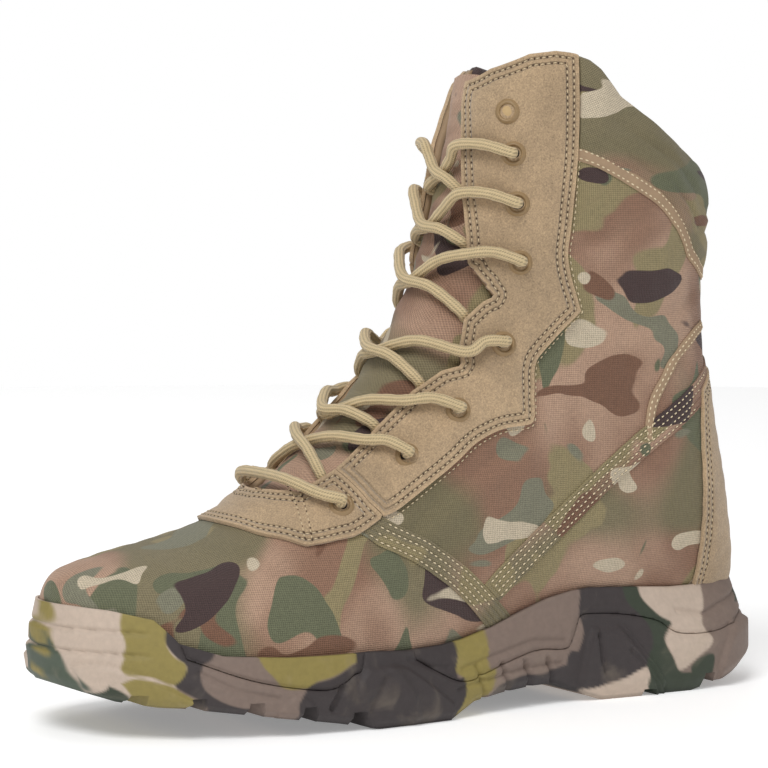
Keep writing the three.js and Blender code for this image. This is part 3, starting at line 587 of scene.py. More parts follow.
@dataclass
class Patch:
    """A stretch of cloth or suede on the last, cut along its edges.

    Attributes:
        piece: The Blender object.
        at: Its points in mm, in the tables' frame.
        normals: Their outward normals.
        edge: Their distance in mm from the piece's own edge.
        faces: Corner numbers of its quads.
    """

    piece: bpy.types.Object
    at: Array
    normals: Array
    edge: Array
    faces: Array

    def row(self, inset: float) -> list[tuple[Array, Array]]:
        """Lines that run round the piece at one distance from its edge.

        Args:
            inset: The distance in mm.

        Returns:
            Pairs of points and normals.
        """
        value = self.edge - inset
        links: dict[tuple[int, int], list[tuple[int, int]]] = {}
        crossed = self.faces[(value[self.faces].min(axis=1) < 0) & (value[self.faces].max(axis=1) > 0)]
        for quad in crossed:
            sides = zip(quad, np.roll(quad, -1))
            cuts = [(min(a, b), max(a, b)) for a, b in sides if (value[a] < 0) != (value[b] < 0)]
            for first, second in zip(cuts[::2], cuts[1::2]):
                links.setdefault(first, []).append(second)
                links.setdefault(second, []).append(first)
        lines = []
        while links:
            ends = [key for key, near in links.items() if len(near) == 1]
            key = ends[0] if ends else next(iter(links))
            chain = [key]
            while key in links and links[key]:
                following = links[key].pop()
                if key in links.get(following, []):
                    links[following].remove(key)
                if not links[key]:
                    del links[key]
                key = following
                chain.append(key)
            links.pop(key, None)
            if len(chain) > 4:
                lines.append(self._along(chain, value))
        return lines

    def _along(self, chain: list[tuple[int, int]], value: Array) -> tuple[Array, Array]:
        """Points and normals where a line crosses the edges of the mesh."""
        a, b = np.array(chain).T
        f = (value[a] / (value[a] - value[b]))[:, None]
        return self.at[a] * (1 - f) + self.at[b] * f, unit(self.normals[a] * (1 - f) + self.normals[b] * f)


def object_of(name: str, mesh: bpy.types.Mesh) -> bpy.types.Object:
    """A linked object for a mesh, shaded smooth.

    Args:
        name: The object's name.
        mesh: The mesh.

    Returns:
        The object.
    """
    piece = bpy.data.objects.new(name, mesh)
    bpy.context.scene.collection.objects.link(piece)
    mesh.polygons.foreach_set("use_smooth", np.ones(len(mesh.polygons), bool))
    return piece


def points_of(mesh: bpy.types.Mesh) -> Array:
    """The mesh's vertices as an array."""
    out = np.empty(len(mesh.vertices) * 3)
    mesh.vertices.foreach_get("co", out)
    return out.reshape(-1, 3)


def move_points(mesh: bpy.types.Mesh, at: Array) -> None:
    """Puts the mesh's vertices at points given in mm in the tables' frame."""
    mesh.vertices.foreach_set("co", ((at + CENTRE) * MM).astype(np.float32).ravel())
    mesh.update()


def store(mesh: bpy.types.Mesh, name: str, values: Array) -> None:
    """Keeps a number, or a colour, for each vertex.

    Args:
        mesh: The mesh.
        name: The attribute's name.
        values: A number or three for each vertex.
    """
    if values.ndim == 1:
        mesh.attributes.new(name, "FLOAT", "POINT").data.foreach_set("value", values.astype(np.float32))
    else:
        full = np.concatenate([values, np.ones((len(values), 1))], axis=1)
        layer = mesh.attributes.new(name, "FLOAT_COLOR", "POINT")
        layer.data.foreach_set("color", full.astype(np.float32).ravel())


def mesh_from(name: str, bm: bmesh.types.BMesh) -> bpy.types.Mesh:
    """A new mesh from a bmesh, which is freed.

    Args:
        name: The mesh's name.
        bm: The bmesh.

    Returns:
        The mesh.
    """
    mesh = bpy.data.meshes.new(name)
    bm.to_mesh(mesh)
    bm.free()
    return mesh


def sheet_mesh(name: str, across: int, along: int) -> tuple[bpy.types.Mesh, Array]:
    """A flat grid whose vertices run from 0 to 1 both ways, and those shares.

    Args:
        name: The mesh's name.
        across: Faces across.
        along: Faces along.

    Returns:
        The mesh, and the two shares of each vertex.
    """
    bm = bmesh.new()
    bmesh.ops.create_grid(bm, x_segments=across, y_segments=along, size=0.5)
    mesh = mesh_from(name, bm)
    return mesh, np.clip(points_of(mesh)[:, :2] + 0.5, 0, 1)


def add_ball(
    bm: bmesh.types.BMesh, at: Array, ways: Sequence[Array], sizes: Sequence[float], parts: tuple[int, int],
    look: int,
) -> None:
    """Adds a flattened ball.

    Args:
        bm: Takes the ball.
        at: Its middle in mm, in the tables' frame.
        ways: Its three axes.
        sizes: Its radius along each.
        parts: Its segments and rings.
        look: Which of the piece's materials it has.
    """
    place = (at + CENTRE) * MM
    columns = [way * size * MM for way, size in zip(ways, sizes)]
    matrix = Matrix([[*(float(c[k]) for c in columns), float(place[k])] for k in range(3)] + [[0, 0, 0, 1]])
    made = bmesh.ops.create_uvsphere(bm, u_segments=parts[0], v_segments=parts[1], radius=1.0, matrix=matrix)
    for face in {face for vert in made["verts"] for face in vert.link_faces}:
        face.material_index = look


def closed_up(mesh: bpy.types.Mesh, distance: float = 1e-5, turn: bool = True) -> None:
    """Joins the vertices of a seam or a pole and points the faces outwards.

    Args:
        mesh: The mesh.
        distance: Between vertices that are joined, in metres.
        turn: Whether the faces are turned outwards, which only a closed mesh needs.
    """
    bm = bmesh.new()
    bm.from_mesh(mesh)
    bmesh.ops.remove_doubles(bm, verts=bm.verts, dist=distance)
    bmesh.ops.dissolve_degenerate(bm, edges=bm.edges, dist=distance / 2)
    if turn:
        bmesh.ops.recalc_face_normals(bm, faces=bm.faces)
    bm.to_mesh(mesh)
    bm.free()
    mesh.polygons.foreach_set("use_smooth", np.ones(len(mesh.polygons), bool))


def sealed(mesh: bpy.types.Mesh) -> None:
    """Joins a mesh's seams and fills its open ends.

    Args:
        mesh: The mesh.
    """
    closed_up(mesh, 2e-5)
    bm = bmesh.new()
    bm.from_mesh(mesh)
    bmesh.ops.holes_fill(bm, edges=[edge for edge in bm.edges if edge.is_boundary], sides=0)
    bmesh.ops.triangulate(bm, faces=[face for face in bm.faces if len(face.verts) > 4])
    bmesh.ops.recalc_face_normals(bm, faces=bm.faces)
    bm.to_mesh(mesh)
    bm.free()


def face_along(mesh: bpy.types.Mesh, normals: Array) -> None:
    """Turns the faces of a sheet to the side that the normals of its vertices point to.

    Args:
        mesh: The mesh.
        normals: One for each vertex.
    """
    made = np.empty(len(mesh.vertices) * 3)
    mesh.vertices.foreach_get("normal", made)
    if (made.reshape(-1, 3) * normals).sum() < 0:
        mesh.flip_normals()


def applied(piece: bpy.types.Object) -> None:
    """Turns a piece's modifiers into its mesh.

    Args:
        piece: The object.
    """
    bpy.context.view_layer.update()
    made = bpy.data.meshes.new_from_object(piece.evaluated_get(bpy.context.evaluated_depsgraph_get()))
    piece.modifiers.clear()
    piece.data = made


def thicken(piece: bpy.types.Object, thickness: float, bevel: float = 0.0) -> None:
    """Gives a sheet its wall inwards, and round edges.

    Args:
        piece: The sheet.
        thickness: In mm.
        bevel: Width of the rounded edge in mm.
    """
    wall = piece.modifiers.new("wall", "SOLIDIFY")
    wall.thickness, wall.offset, wall.use_even_offset = thickness * MM, -1.0, False
    if bevel:
        edge = piece.modifiers.new("edge", "BEVEL")
        edge.width, edge.segments, edge.limit_method = bevel * MM, 2, "ANGLE"
        edge.angle_limit, edge.profile = math.radians(55), 0.5


@dataclass
class Cutter:
    """Cuts pieces out of a grid on the last.

    Attributes:
        last: The last.
        cell: Size of a face in mm.
    """

    last: Last
    cell: float

    def cut(
        self, name: str, s_range: tuple[float, float], q_range: tuple[float, float], region: Region,
        offset: Callable[[Array, Array, Array], Array] | float, guide: float = 0.3,
    ) -> Patch:
        """Makes the stretch of the last that lies inside a region.

        Args:
            name: The piece's name.
            s_range: Places that it spans.
            q_range: Shares of the way round that it spans.
            region: Signed distance to its edge.
            offset: Height over the last in mm, or a function of s, u and the distance to the edge.
            guide: The share of the way round along which its length is measured.

        Returns:
            The patch.
        """
        ways = self._lengths(s_range, guide)
        middle = np.full(65, sum(s_range) / 2)
        q = np.linspace(*q_range, 65)
        round_way = self.last.point(middle, self.last.turn(middle, q))
        width = np.linalg.norm(np.diff(round_way, axis=0), axis=1).sum()
        counts = (max(8, round(long / self.cell)) for long in (width, ways[1][-1]))
        mesh, share = sheet_mesh(name, *counts)

        def place(share: Array) -> tuple[Array, Array, Array]:
            s = np.interp(share[:, 1] * ways[1][-1], ways[1], ways[0])
            q = q_range[0] + (q_range[1] - q_range[0]) * share[:, 0]
            u = self.last.turn(s, q)
            return s, u, self.last.point(s, u)

        def depth(share: Array) -> Array:
            return region(*place(share))

        share = self._trim(mesh, share, depth)
        s, u, bare = place(share)
        edge = self._edge_distance(mesh, bare)
        high = offset(s, u, edge) if callable(offset) else np.full(len(s), float(offset))
        at = bare + self.last.normal(s, u) * (high + self.last.relief(bare))[:, None]
        move_points(mesh, at)
        normals = self.last.normal(s, u)
        face_along(mesh, normals)
        faces = np.array([list(face.vertices) for face in mesh.polygons if len(face.vertices) == 4])
        store(mesh, "edge", edge)
        return Patch(object_of(name, mesh), at, normals, edge, faces)

    def _lengths(self, s_range: tuple[float, float], guide: float) -> tuple[Array, Array]:
        """Places, and the way along the last to each in mm.

        Args:
            s_range: The first and the last place.
            guide: The share of the way round at which it is measured, on both sides.

        Returns:
            The places, and the way to each.
        """
        s = np.linspace(*s_range, 121)
        steps = np.zeros(120)
        for q in {guide, -guide}:
            way = self.last.point(s, self.last.turn(s, np.full_like(s, q)))
            steps = np.maximum(steps, np.linalg.norm(np.diff(way, axis=0), axis=1))
        return s, np.concatenate([[0], np.cumsum(steps)])

    def _trim(self, mesh: bpy.types.Mesh, share: Array, depth: Callable[[Array], Array]) -> Array:
        """Deletes the faces outside the region and moves the new border onto its edge.

        Args:
            mesh: The mesh.
            share: The place of each vertex.
            depth: The region, above zero outside it.

        Returns:
            The places of the vertices that are left.
        """
        value = depth(share)
        bm = bmesh.new()
        bm.from_mesh(mesh)
        bm.faces.ensure_lookup_table()
        spare = [face for face in bm.faces if sum(value[v.index] for v in face.verts) > 0]
        bmesh.ops.delete(bm, geom=spare, context="FACES")
        bm.to_mesh(mesh)
        rim = np.array([v.is_boundary for v in bm.verts])
        bm.free()
        share = np.clip(points_of(mesh)[:, :2] + 0.5, 0, 1)
        value = depth(share)
        move = np.nonzero(rim & (np.abs(value) < 3 * self.cell))[0]
        at = share[move]
        step = 0.002
        for _ in range(5):
            here = depth(at)
            slope = np.stack([
                (depth(at + (step, 0)) - depth(at - (step, 0))) / (2 * step),
                (depth(at + (0, step)) - depth(at - (0, step))) / (2 * step),
            ], axis=1)
            size = np.maximum((slope**2).sum(axis=1), 1e-6)
            at = at - np.clip(here / size, -0.02, 0.02)[:, None] * slope
            at = np.clip(at, 0, 1)
        near = np.linalg.norm(at - share[move], axis=1) < 0.05
        share[move[near]] = at[near]
        return share

    @staticmethod
    def _edge_distance(mesh: bpy.types.Mesh, at: Array) -> Array:
        """Distance from each vertex to the piece's border, in mm, up to a limit.

        Args:
            mesh: The mesh.
            at: Its vertices in mm.

        Returns:
            The distances.
        """
        limit = 12.0
        bm = bmesh.new()
        bm.from_mesh(mesh)
        rim = [v.index for v in bm.verts if v.is_boundary]
        bm.free()
        tree = KDTree(len(rim))
        for k in rim:
            tree.insert(at[k], k)
        tree.balance()
        return np.array([min(tree.find(p)[2], limit) for p in at])


# Materials


def tone(red: int, green: int, blue: int) -> tuple[float, float, float]:
    """A colour from screen values of 0 to 255."""
    parts = (red / 255, green / 255, blue / 255)
    return tuple(c / 12.92 if c <= 0.04045 else ((c + 0.055) / 1.055) ** 2.4 for c in parts)


class Value:
    """A number that changes over a surface, with the usual arithmetic."""

    def __init__(self, graph: "Graph", socket: bpy.types.NodeSocket) -> None:
        """Wraps a socket of a graph."""
        self.graph = graph
        self.socket = socket

    def _math(self, operation: str, *others: "Value | float", swap: bool = False) -> "Value":
        """Adds a Math node."""
        terms = [self, *others][::-1] if swap else [self, *others]
        return self.graph.add("ShaderNodeMath", {"operation": operation}, dict(enumerate(terms)))

    def __add__(self, other: "Value | float") -> "Value":
        """The sum."""
        return self._math("ADD", other)

    __radd__ = __add__

    def __sub__(self, other: "Value | float") -> "Value":
        """The difference."""
        return self._math("SUBTRACT", other)

    def __rsub__(self, other: "Value | float") -> "Value":
        """The difference from a number."""
        return self._math("SUBTRACT", other, swap=True)

    def __mul__(self, other: "Value | float") -> "Value":
        """The product."""
        return self._math("MULTIPLY", other)

    __rmul__ = __mul__

    def wave(self) -> "Value":
        """The sine."""
        return self._math("SINE")

    def size(self) -> "Value":
        """The absolute value."""
        return self._math("ABSOLUTE")

    def step(self, low: float, high: float) -> "Value":
        """0 at low, 1 at high and a soft S between."""
        settings = {"interpolation_type": "SMOOTHSTEP"}
        return self.graph.add("ShaderNodeMapRange", settings, {0: self, 1: low, 2: high, 3: 0.0, 4: 1.0})


class Graph:
    """The nodes of one material, with its Principled shader."""

    def __init__(self, name: str) -> None:
        """Starts a material.

        Args:
            name: Its name.
        """
        self.material = bpy.data.materials.new(name)
        self.material.use_nodes = True
        self.tree = self.material.node_tree
        self.tree.nodes.clear()
        self.shader = self.tree.nodes.new("ShaderNodeBsdfPrincipled")
        output = self.tree.nodes.new("ShaderNodeOutputMaterial")
        self.tree.links.new(self.shader.outputs[0], output.inputs[0])
        place = self.tree.nodes.new("ShaderNodeTexCoord")
        self.at = Value(self, place.outputs["Object"])
        self.uv = Value(self, place.outputs["UV"])

    def add(self, kind: str, settings: dict[str, object], inputs: dict, output: int | str = 0) -> Value:
        """Adds a node.

        Args:
            kind: Its type.
            settings: Its properties.
            inputs: Numbers, colours or Values for its sockets, by place or name.
            output: The socket to return.

        Returns:
            The output.
        """
        node = self.tree.nodes.new(kind)
        for key, setting in settings.items():
            setattr(node, key, setting)
        for key, given in inputs.items():
            if isinstance(given, Value):
                self.tree.links.new(given.socket, node.inputs[key])
            else:
                node.inputs[key].default_value = given
        return Value(self, node.outputs[output])

    def noise(
        self, scale: float, detail: float = 2.0, bend: float = 0.0, at: Optional[Value] = None,
    ) -> Value:
        """Soft noise from 0 to 1, about scale lumps a metre."""
        inputs = {"Vector": at or self.at, "Scale": scale, "Detail": detail, "Distortion": bend}
        return self.add("ShaderNodeTexNoise", {}, inputs)

    def shifted(
        self, move: Sequence[float], turn: Sequence[float] = (0, 0, 0), scale: Sequence[float] = (1, 1, 1),
    ) -> Value:
        """The place on the object, moved, turned in degrees and stretched."""
        inputs = {0: self.at, 1: move, 2: tuple(math.radians(a) for a in turn), 3: scale}
        return self.add("ShaderNodeMapping", {}, inputs)

    def axis(self, letter: str, of: Optional[Value] = None) -> Value:
        """One coordinate of a place."""
        return self.add("ShaderNodeSeparateXYZ", {}, {0: of or self.at}, "XYZ".index(letter))

    def kept(self, name: str) -> Value:
        """A number kept on the mesh."""
        return self.add("ShaderNodeAttribute", {"attribute_name": name}, {}, "Fac")

    def mix(self, share: Value | float, first: object, second: object, way: str = "MIX") -> Value:
        """Mixes two colours."""
        as_colour = [(*c, 1.0) if isinstance(c, tuple) and len(c) == 3 else c for c in (first, second)]
        settings = {"data_type": "RGBA", "blend_type": way}
        return self.add("ShaderNodeMix", settings, {0: share, 6: as_colour[0], 7: as_colour[1]}, 2)

    def grey(self, value: Value) -> Value:
        """A colour as bright as a number."""
        return self.add("ShaderNodeCombineColor", {}, {0: value, 1: value, 2: value})

    def finish(
        self, colour: Value | tuple[float, ...], roughness: Value | float, height: Optional[Value] = None,
        depth: float = 0.2, **fixed: float,
    ) -> bpy.types.Material:
        """Connects the shader.

        Args:
            colour: Base colour.
            roughness: Roughness.
            height: Relief from 0 to 1.
            depth: What 1 stands for, in mm.
            fixed: Other numbers of the shader, by name with underscores.

        Returns:
            The material.
        """
        for key, given in (("Base Color", colour), ("Roughness", roughness)):
            if isinstance(given, Value):
                self.tree.links.new(given.socket, self.shader.inputs[key])
            else:
                self.shader.inputs[key].default_value = (*given, 1.0) if isinstance(given, tuple) else given
        for key, number in fixed.items():
            self.shader.inputs[key.replace("_", " ")].default_value = number
        if height is not None:
            bump = self.add("ShaderNodeBump", {}, {"Height": height, "Distance": depth * MM, "Strength": 1.0})
            self.tree.links.new(bump.socket, self.shader.inputs["Normal"])
        return self.material


@dataclass(frozen=True)
class Weave:
    """Threads over and under each other.

    Attributes:
        pitch: Thread spacing in mm.
        angle: Turn of the cloth in side view, in degrees.
    """

    pitch: float = 1.0
    angle: float = 40.0

    def height(self, graph: Graph) -> Value:
        """The relief of the threads, 0 in the gaps and 1 on their backs.

        Args:
            graph: The material's graph.

        Returns:
            The relief.
        """
        rate = 2 * math.pi / (self.pitch * MM)

        def threads(plane: str, at: Value) -> Value:
            return (graph.axis(plane[0], at) * rate).wave() * (graph.axis(plane[1], at) * rate).wave()

        facing = graph.add("ShaderNodeNewGeometry", {}, {}, "Normal")
        top = graph.axis("Z", facing).size().step(0.6, 0.8)
        front = graph.axis("X", facing).size().step(0.68, 0.82)
        sides = threads("XZ", graph.shifted((0, 0, 0), (0, self.angle, 0)))
        above = threads("XY", graph.shifted((0, 0, 0), (0, 0, self.angle)))
        both = (sides * (1 - top) + above * top) * (1 - front) + threads("YZ", graph.at) * front
        return both * 0.5 + 0.5


@dataclass(frozen=True)
class Camouflage:
    """Cloth printed with a plain woodland pattern.

    Attributes:
        name: Material name.
        weave: Its threads.
        seed: Where in the pattern the cloth was cut, in metres.
        rows: Stitch rows in mm from the edge, which pull the cloth down.
        spread: How much narrower the pattern is along each axis.
        cream: How bright the noise is where the rare cream flecks start.
    """

    name: str
    weave: Weave = Weave()
    seed: tuple[float, float, float] = (0.0, 0.0, 0.0)
    rows: tuple[float, ...] = ()
    spread: tuple[float, float, float] = (1.0, 1.0, 1.0)
    cream: float = 0.715

    def print_colour(self, g: Graph) -> Value:
        """The printed colours.

        Args:
            g: The material's graph.

        Returns:
            The colour.
        """
        at = g.shifted(self.seed, scale=self.spread)
        soft = g.noise(17, 2.0, 0.3, at).step(0.40, 0.60)
        colour = g.mix(soft, tone(178, 146, 123), tone(140, 106, 85))
        haze = g.noise(13, 1.5, 0.2, self._elsewhere(g, 1.3)).step(0.50, 0.60)
        colour = g.mix(haze * 0.85, colour, tone(112, 108, 78))
        khaki = g.noise(24, 1.5, 0.5, self._elsewhere(g, 3))
        colour = g.mix(khaki.step(0.565, 0.585), colour, tone(143, 130, 94))
        leaf = g.noise(34, 1.2, 0.7, self._elsewhere(g, 7, 30, (1.0, 1.0, 0.6)))
        colour = g.mix(leaf.step(0.625, 0.637), colour, tone(100, 103, 78))
        grey = g.noise(46, 0.8, 0.6, self._elsewhere(g, 11, -25, (0.6, 1, 1)))
        colour = g.mix(grey.step(0.665, 0.68), colour, tone(124, 122, 102))
        bark = g.noise(40, 1.0, 0.6, self._elsewhere(g, 29, -40, (0.55, 1, 1)))
        colour = g.mix(bark.step(0.665, 0.68), colour, tone(118, 84, 64))
        twig = g.noise(44, 0.6, 0.5, self._elsewhere(g, 17, 38, (0.42, 1, 1)))
        colour = g.mix(twig.step(0.668, 0.676), colour, tone(66, 48, 46))
        fleck = g.noise(60, 0.3, 0.4, self._elsewhere(g, 23, 20, (0.7, 1, 1)))
        return g.mix(fleck.step(self.cream, self.cream + 0.01), colour, tone(196, 182, 158))

    def _elsewhere(
        self, g: Graph, far: float, turn: float = 0.0, scale: Sequence[float] = (1, 1, 1),
    ) -> Value:
        """The place on the object moved far from the seed, turned in side view and stretched."""
        across = tuple(a * b for a, b in zip(scale, self.spread))
        return g.shifted(tuple(a + far for a in self.seed), (0, turn, 0), across)

    def material(self) -> bpy.types.Material:
        """Makes the material.

        Returns:
            The material.
        """
        g = Graph(self.name)
        threads = self.weave.height(g)
        colour = self.print_colour(g)
        # Painted shade: the weave's gaps are painted darker than the threads' backs; the noise is the cloth's
        # own uneven tone.
        shade = threads * 0.60 + 0.63 + (g.noise(900, 2.0) - 0.5) * 0.40
        colour = g.mix(1.0, colour, g.grey(shade), "MULTIPLY")
        height = threads * 0.8 + g.noise(300, 2.0) * 0.3
        if self.rows:
            height = height + stitch_grooves(g, self.rows) * -2.2
        return g.finish(colour, 0.82, height, 0.24, Sheen_Weight=0.12, Sheen_Roughness=0.5)


def stitch_grooves(g: Graph, rows: Sequence[float]) -> Value:
    """1 along each stitch row and 0 away from them.

    Args:
        g: The material's graph.
        rows: The rows' distances from the edge, in mm.

    Returns:
        The value.
    """
    edge = g.kept("edge")
    first, *others = [1 - (edge - inset).size().step(0.0, 0.75) for inset in rows]
    for groove in others:
        first = first + groove
    return first


@dataclass(frozen=True)
class Suede:
    """Napped suede with a cut edge, painted lighter along it as a painted highlight and darker in its stitch
    grooves as painted shade.

    Attributes:
        name: Material name.
        colour: Its colour.
        rows: Stitch rows in mm from the edge.
    """

    name: str
    colour: tuple[float, float, float] = tone(178, 152, 119)
    rows: tuple[float, ...] = ()

    def material(self) -> bpy.types.Material:
        """Makes the material.

        Returns:
            The material.
        """
        g = Graph(self.name)
        patches = g.noise(45, 3.0, 0.4).step(0.3, 0.72)
        nap = g.noise(1700, 2.0, 0.6)
        lumps = g.noise(330, 3.0, 0.3)
        darker = tuple(c * 0.86 for c in self.colour)
        lighter = tuple(min(1.0, c * 1.06) for c in self.colour)
        colour = g.mix(patches, darker, lighter)
        shade = (nap - 0.5) * 1.15 + 0.90 + (lumps - 0.5) * 0.24
        edge = g.kept("edge")
        # Painted highlight: the suede is painted lighter within about a millimetre of its cut edge.
        shade = shade + (1 - edge.step(0.2, 1.1)) * 0.14
        height = nap * 0.6 + lumps * 0.5
        if self.rows:
            grooves = stitch_grooves(g, self.rows)
            height = height + grooves * -2.4
            # Painted shade: the stitch grooves are painted darker.
            shade = shade + grooves * -0.10
        colour = g.mix(1.0, colour, g.grey(shade), "MULTIPLY")
        return g.finish(colour, 0.93, height, 0.26, Sheen_Weight=0.25, Sheen_Roughness=0.6)


@dataclass(frozen=True)
class Plain:
    """A plain surface with a little grain.

    Attributes:
        name: Material name.
        colour: Its colour.
        roughness: Its roughness.
        grain: Lumps a metre.
        depth: Height of the grain in mm.
        uneven: How much its brightness varies.
    """

    name: str
    colour: tuple[float, float, float]
    roughness: float = 0.8
    grain: float = 900.0
    depth: float = 0.08
    uneven: float = 0.15

    def material(self) -> bpy.types.Material:
        """Makes the material.

        Returns:
            The material.
        """
        g = Graph(self.name)
        shade = g.noise(self.grain / 4, 3.0) * self.uneven + (1 - self.uneven / 2)
        colour = g.mix(1.0, self.colour, g.grey(shade), "MULTIPLY")
        rough = g.noise(self.grain / 8, 2.0) * 0.12 + (self.roughness - 0.06)
        return g.finish(colour, rough, g.noise(self.grain, 3.0), self.depth)


@dataclass(frozen=True)
class Braid:
    """Round braided cord: its UV map runs round it, 0 to 1, and along it in mm.

    Attributes:
        name: Material name.
        colour: Its colour.
        strands: Ribs round it.
        lay: Length in mm over which a strand takes the next one's place.
    """

    name: str
    colour: tuple[float, float, float] = tone(206, 184, 142)
    strands: float = 9.0
    lay: float = 0.9

    def material(self) -> bpy.types.Material:
        """Makes the material.

        Returns:
            The material.
        """
        g = Graph(self.name)
        around = g.axis("X", g.uv) * (2 * math.pi)
        along = g.axis("Y", g.uv)
        ribs = (around * self.strands).wave() * 0.5 + 0.5
        turns = (around * self.strands + along * (2 * math.pi / self.lay)).wave() * 0.5 + 0.5
        height = ribs * 0.6 + turns * 0.4
        # Painted shade: the gaps between the strands are painted darker.
        colour = g.mix(height.step(0.05, 0.6), tuple(c * 0.55 for c in self.colour), self.colour)
        shade = g.noise(900, 2.0) * 0.25 + 0.88
        colour = g.mix(1.0, colour, g.grey(shade), "MULTIPLY")
        return g.finish(colour, 0.75, height, 0.32, Sheen_Weight=0.2)


@dataclass(frozen=True)
class Moulded:
    """Moulded rubber in several earth tones, which the mesh keeps as a colour.

    Attributes:
        name: Material name.
        roughness: Its roughness.
    """

    name: str
    roughness: float = 0.72

    def material(self) -> bpy.types.Material:
        """Makes the material.

        Returns:
            The material.
        """
        g = Graph(self.name)
        base = g.add("ShaderNodeAttribute", {"attribute_name": "zone"}, {}, "Color")
        shade = g.noise(420, 4.0, 0.3) * 0.30 + 0.83 + (g.noise(35, 2.0) - 0.5) * 0.12
        colour = g.mix(1.0, base, g.grey(shade), "MULTIPLY")
        dust = g.noise(60, 4.0, 0.5).step(0.55, 0.8) * 0.22
        colour = g.mix(dust, colour, tone(176, 160, 138))
        rough = g.noise(180, 3.0) * 0.16 + (self.roughness - 0.08)
        return g.finish(colour, rough, g.noise(1300, 3.0), 0.07)


# The pieces


def dressed(piece: bpy.types.Object, *materials: bpy.types.Material) -> bpy.types.Object:
    """Gives a piece its materials."""
    for material in materials:
        piece.data.materials.append(material)
    return piece


def seated(piece: bpy.types.Object, slot: str, *nodes: str) -> bpy.types.Object:
    """Rides a piece on the boot's body and hides the CAD nodes that it stands for.

    Args:
        piece: The object.
        slot: The slot's name; not used.
        *nodes: The CAD nodes' names.

    Returns:
        The piece.
    """
    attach(piece, "root")
    if nodes:
        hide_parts(*nodes)
    log.info("%s: %d faces", piece.name, len(piece.data.polygons))
    return piece


@dataclass
class Stitching:
    """Rows of thread, a short lens for each stitch and a dark dot of painted shade for the pinhole between
    two.

    Attributes:
        name: The piece's name.
        pitch: From one stitch to the next, in mm.
        length: Of the thread that shows.
        width: Of the thread.
        high: Half of the thread's thickness over its seat.
        hole: Radius of a pinhole's dot of painted shade.
        holes: Whether the pinholes' painted shade is drawn.
        lines: Points and normals of the rows in mm.
    """

    name: str
    pitch: float = 2.35
    length: float = 1.45
    width: float = 0.60
    high: float = 0.30
    hole: float = 0.42
    holes: bool = True
    lines: list[tuple[Array, Array]] = field(default_factory=list)

    def add(
        self, lines: Sequence[tuple[Array, Array]], bare: Optional[Callable[[Array], Array]] = None,
    ) -> None:
        """Adds rows.

        Args:
            lines: Points and normals in mm.
            bare: Says at which points there is no thread.
        """
        for at, normal in lines:
            keep = np.ones(len(at), bool) if bare is None else ~bare(at)
            start = 0
            for stop in range(1, len(at) + 1):
                if stop == len(at) or not keep[stop]:
                    if keep[start] and stop - start > 3:
                        self.lines.append((at[start:stop], normal[start:stop]))
                    start = stop + 1 if stop < len(at) else stop
                    start = min(start, len(at) - 1)

    def build(self, thread: bpy.types.Material, pinhole_shade: bpy.types.Material) -> bpy.types.Object:
        """Makes the piece.

        Args:
            thread: The stitches' material.
            pinhole_shade: The material of the pinholes' painted shade.

        Returns:
            The object.
        """
        bm = bmesh.new()
        for at, normal in self.lines:
            run = length_along(at)
            count = int(run[-1] // self.pitch)
            if count < 2:
                continue
            # A bmesh of its own for each row, because adding a ball slows down as a bmesh grows
            part = mesh_from("row", self._row(at, normal, run, count))
            bm.from_mesh(part)
            bpy.data.meshes.remove(part)
        return dressed(object_of(self.name, mesh_from(self.name, bm)), thread, pinhole_shade)

    def _row(self, at: Array, normal: Array, run: Array, count: int) -> bmesh.types.BMesh:
        """The stitches and pinholes of one row.

        Args:
            at: The row's points in mm.
            normal: The normals there.
            run: The way along the row to each point.
            count: The number of stitches.

        Returns:
            The row.
        """
        near = 0.4
        row = bmesh.new()
        where = (np.arange(count) + 0.5) * run[-1] / count
        spots, ahead, behind = (read_rows(where + step, run, at) for step in (0.0, near, -near))
        ups, ways = unit(read_rows(where, run, normal)), unit(ahead - behind)
        for spot, up, way in zip(spots, ups, ways):
            side = np.cross(up, way)
            size = (self.length / 2, self.width / 2, self.high)
            add_ball(row, spot - up * 0.02, (way, side, up), size, (6, 4), 0)
            # Each pinhole is a dark dot of painted shade.
            if self.holes:
                gap = spot + way * self.pitch / 2 + side * 0.10 + up * 0.02
                add_ball(row, gap, (way, side, up), (self.hole, self.hole, 0.16), (6, 3), 1)
        return row


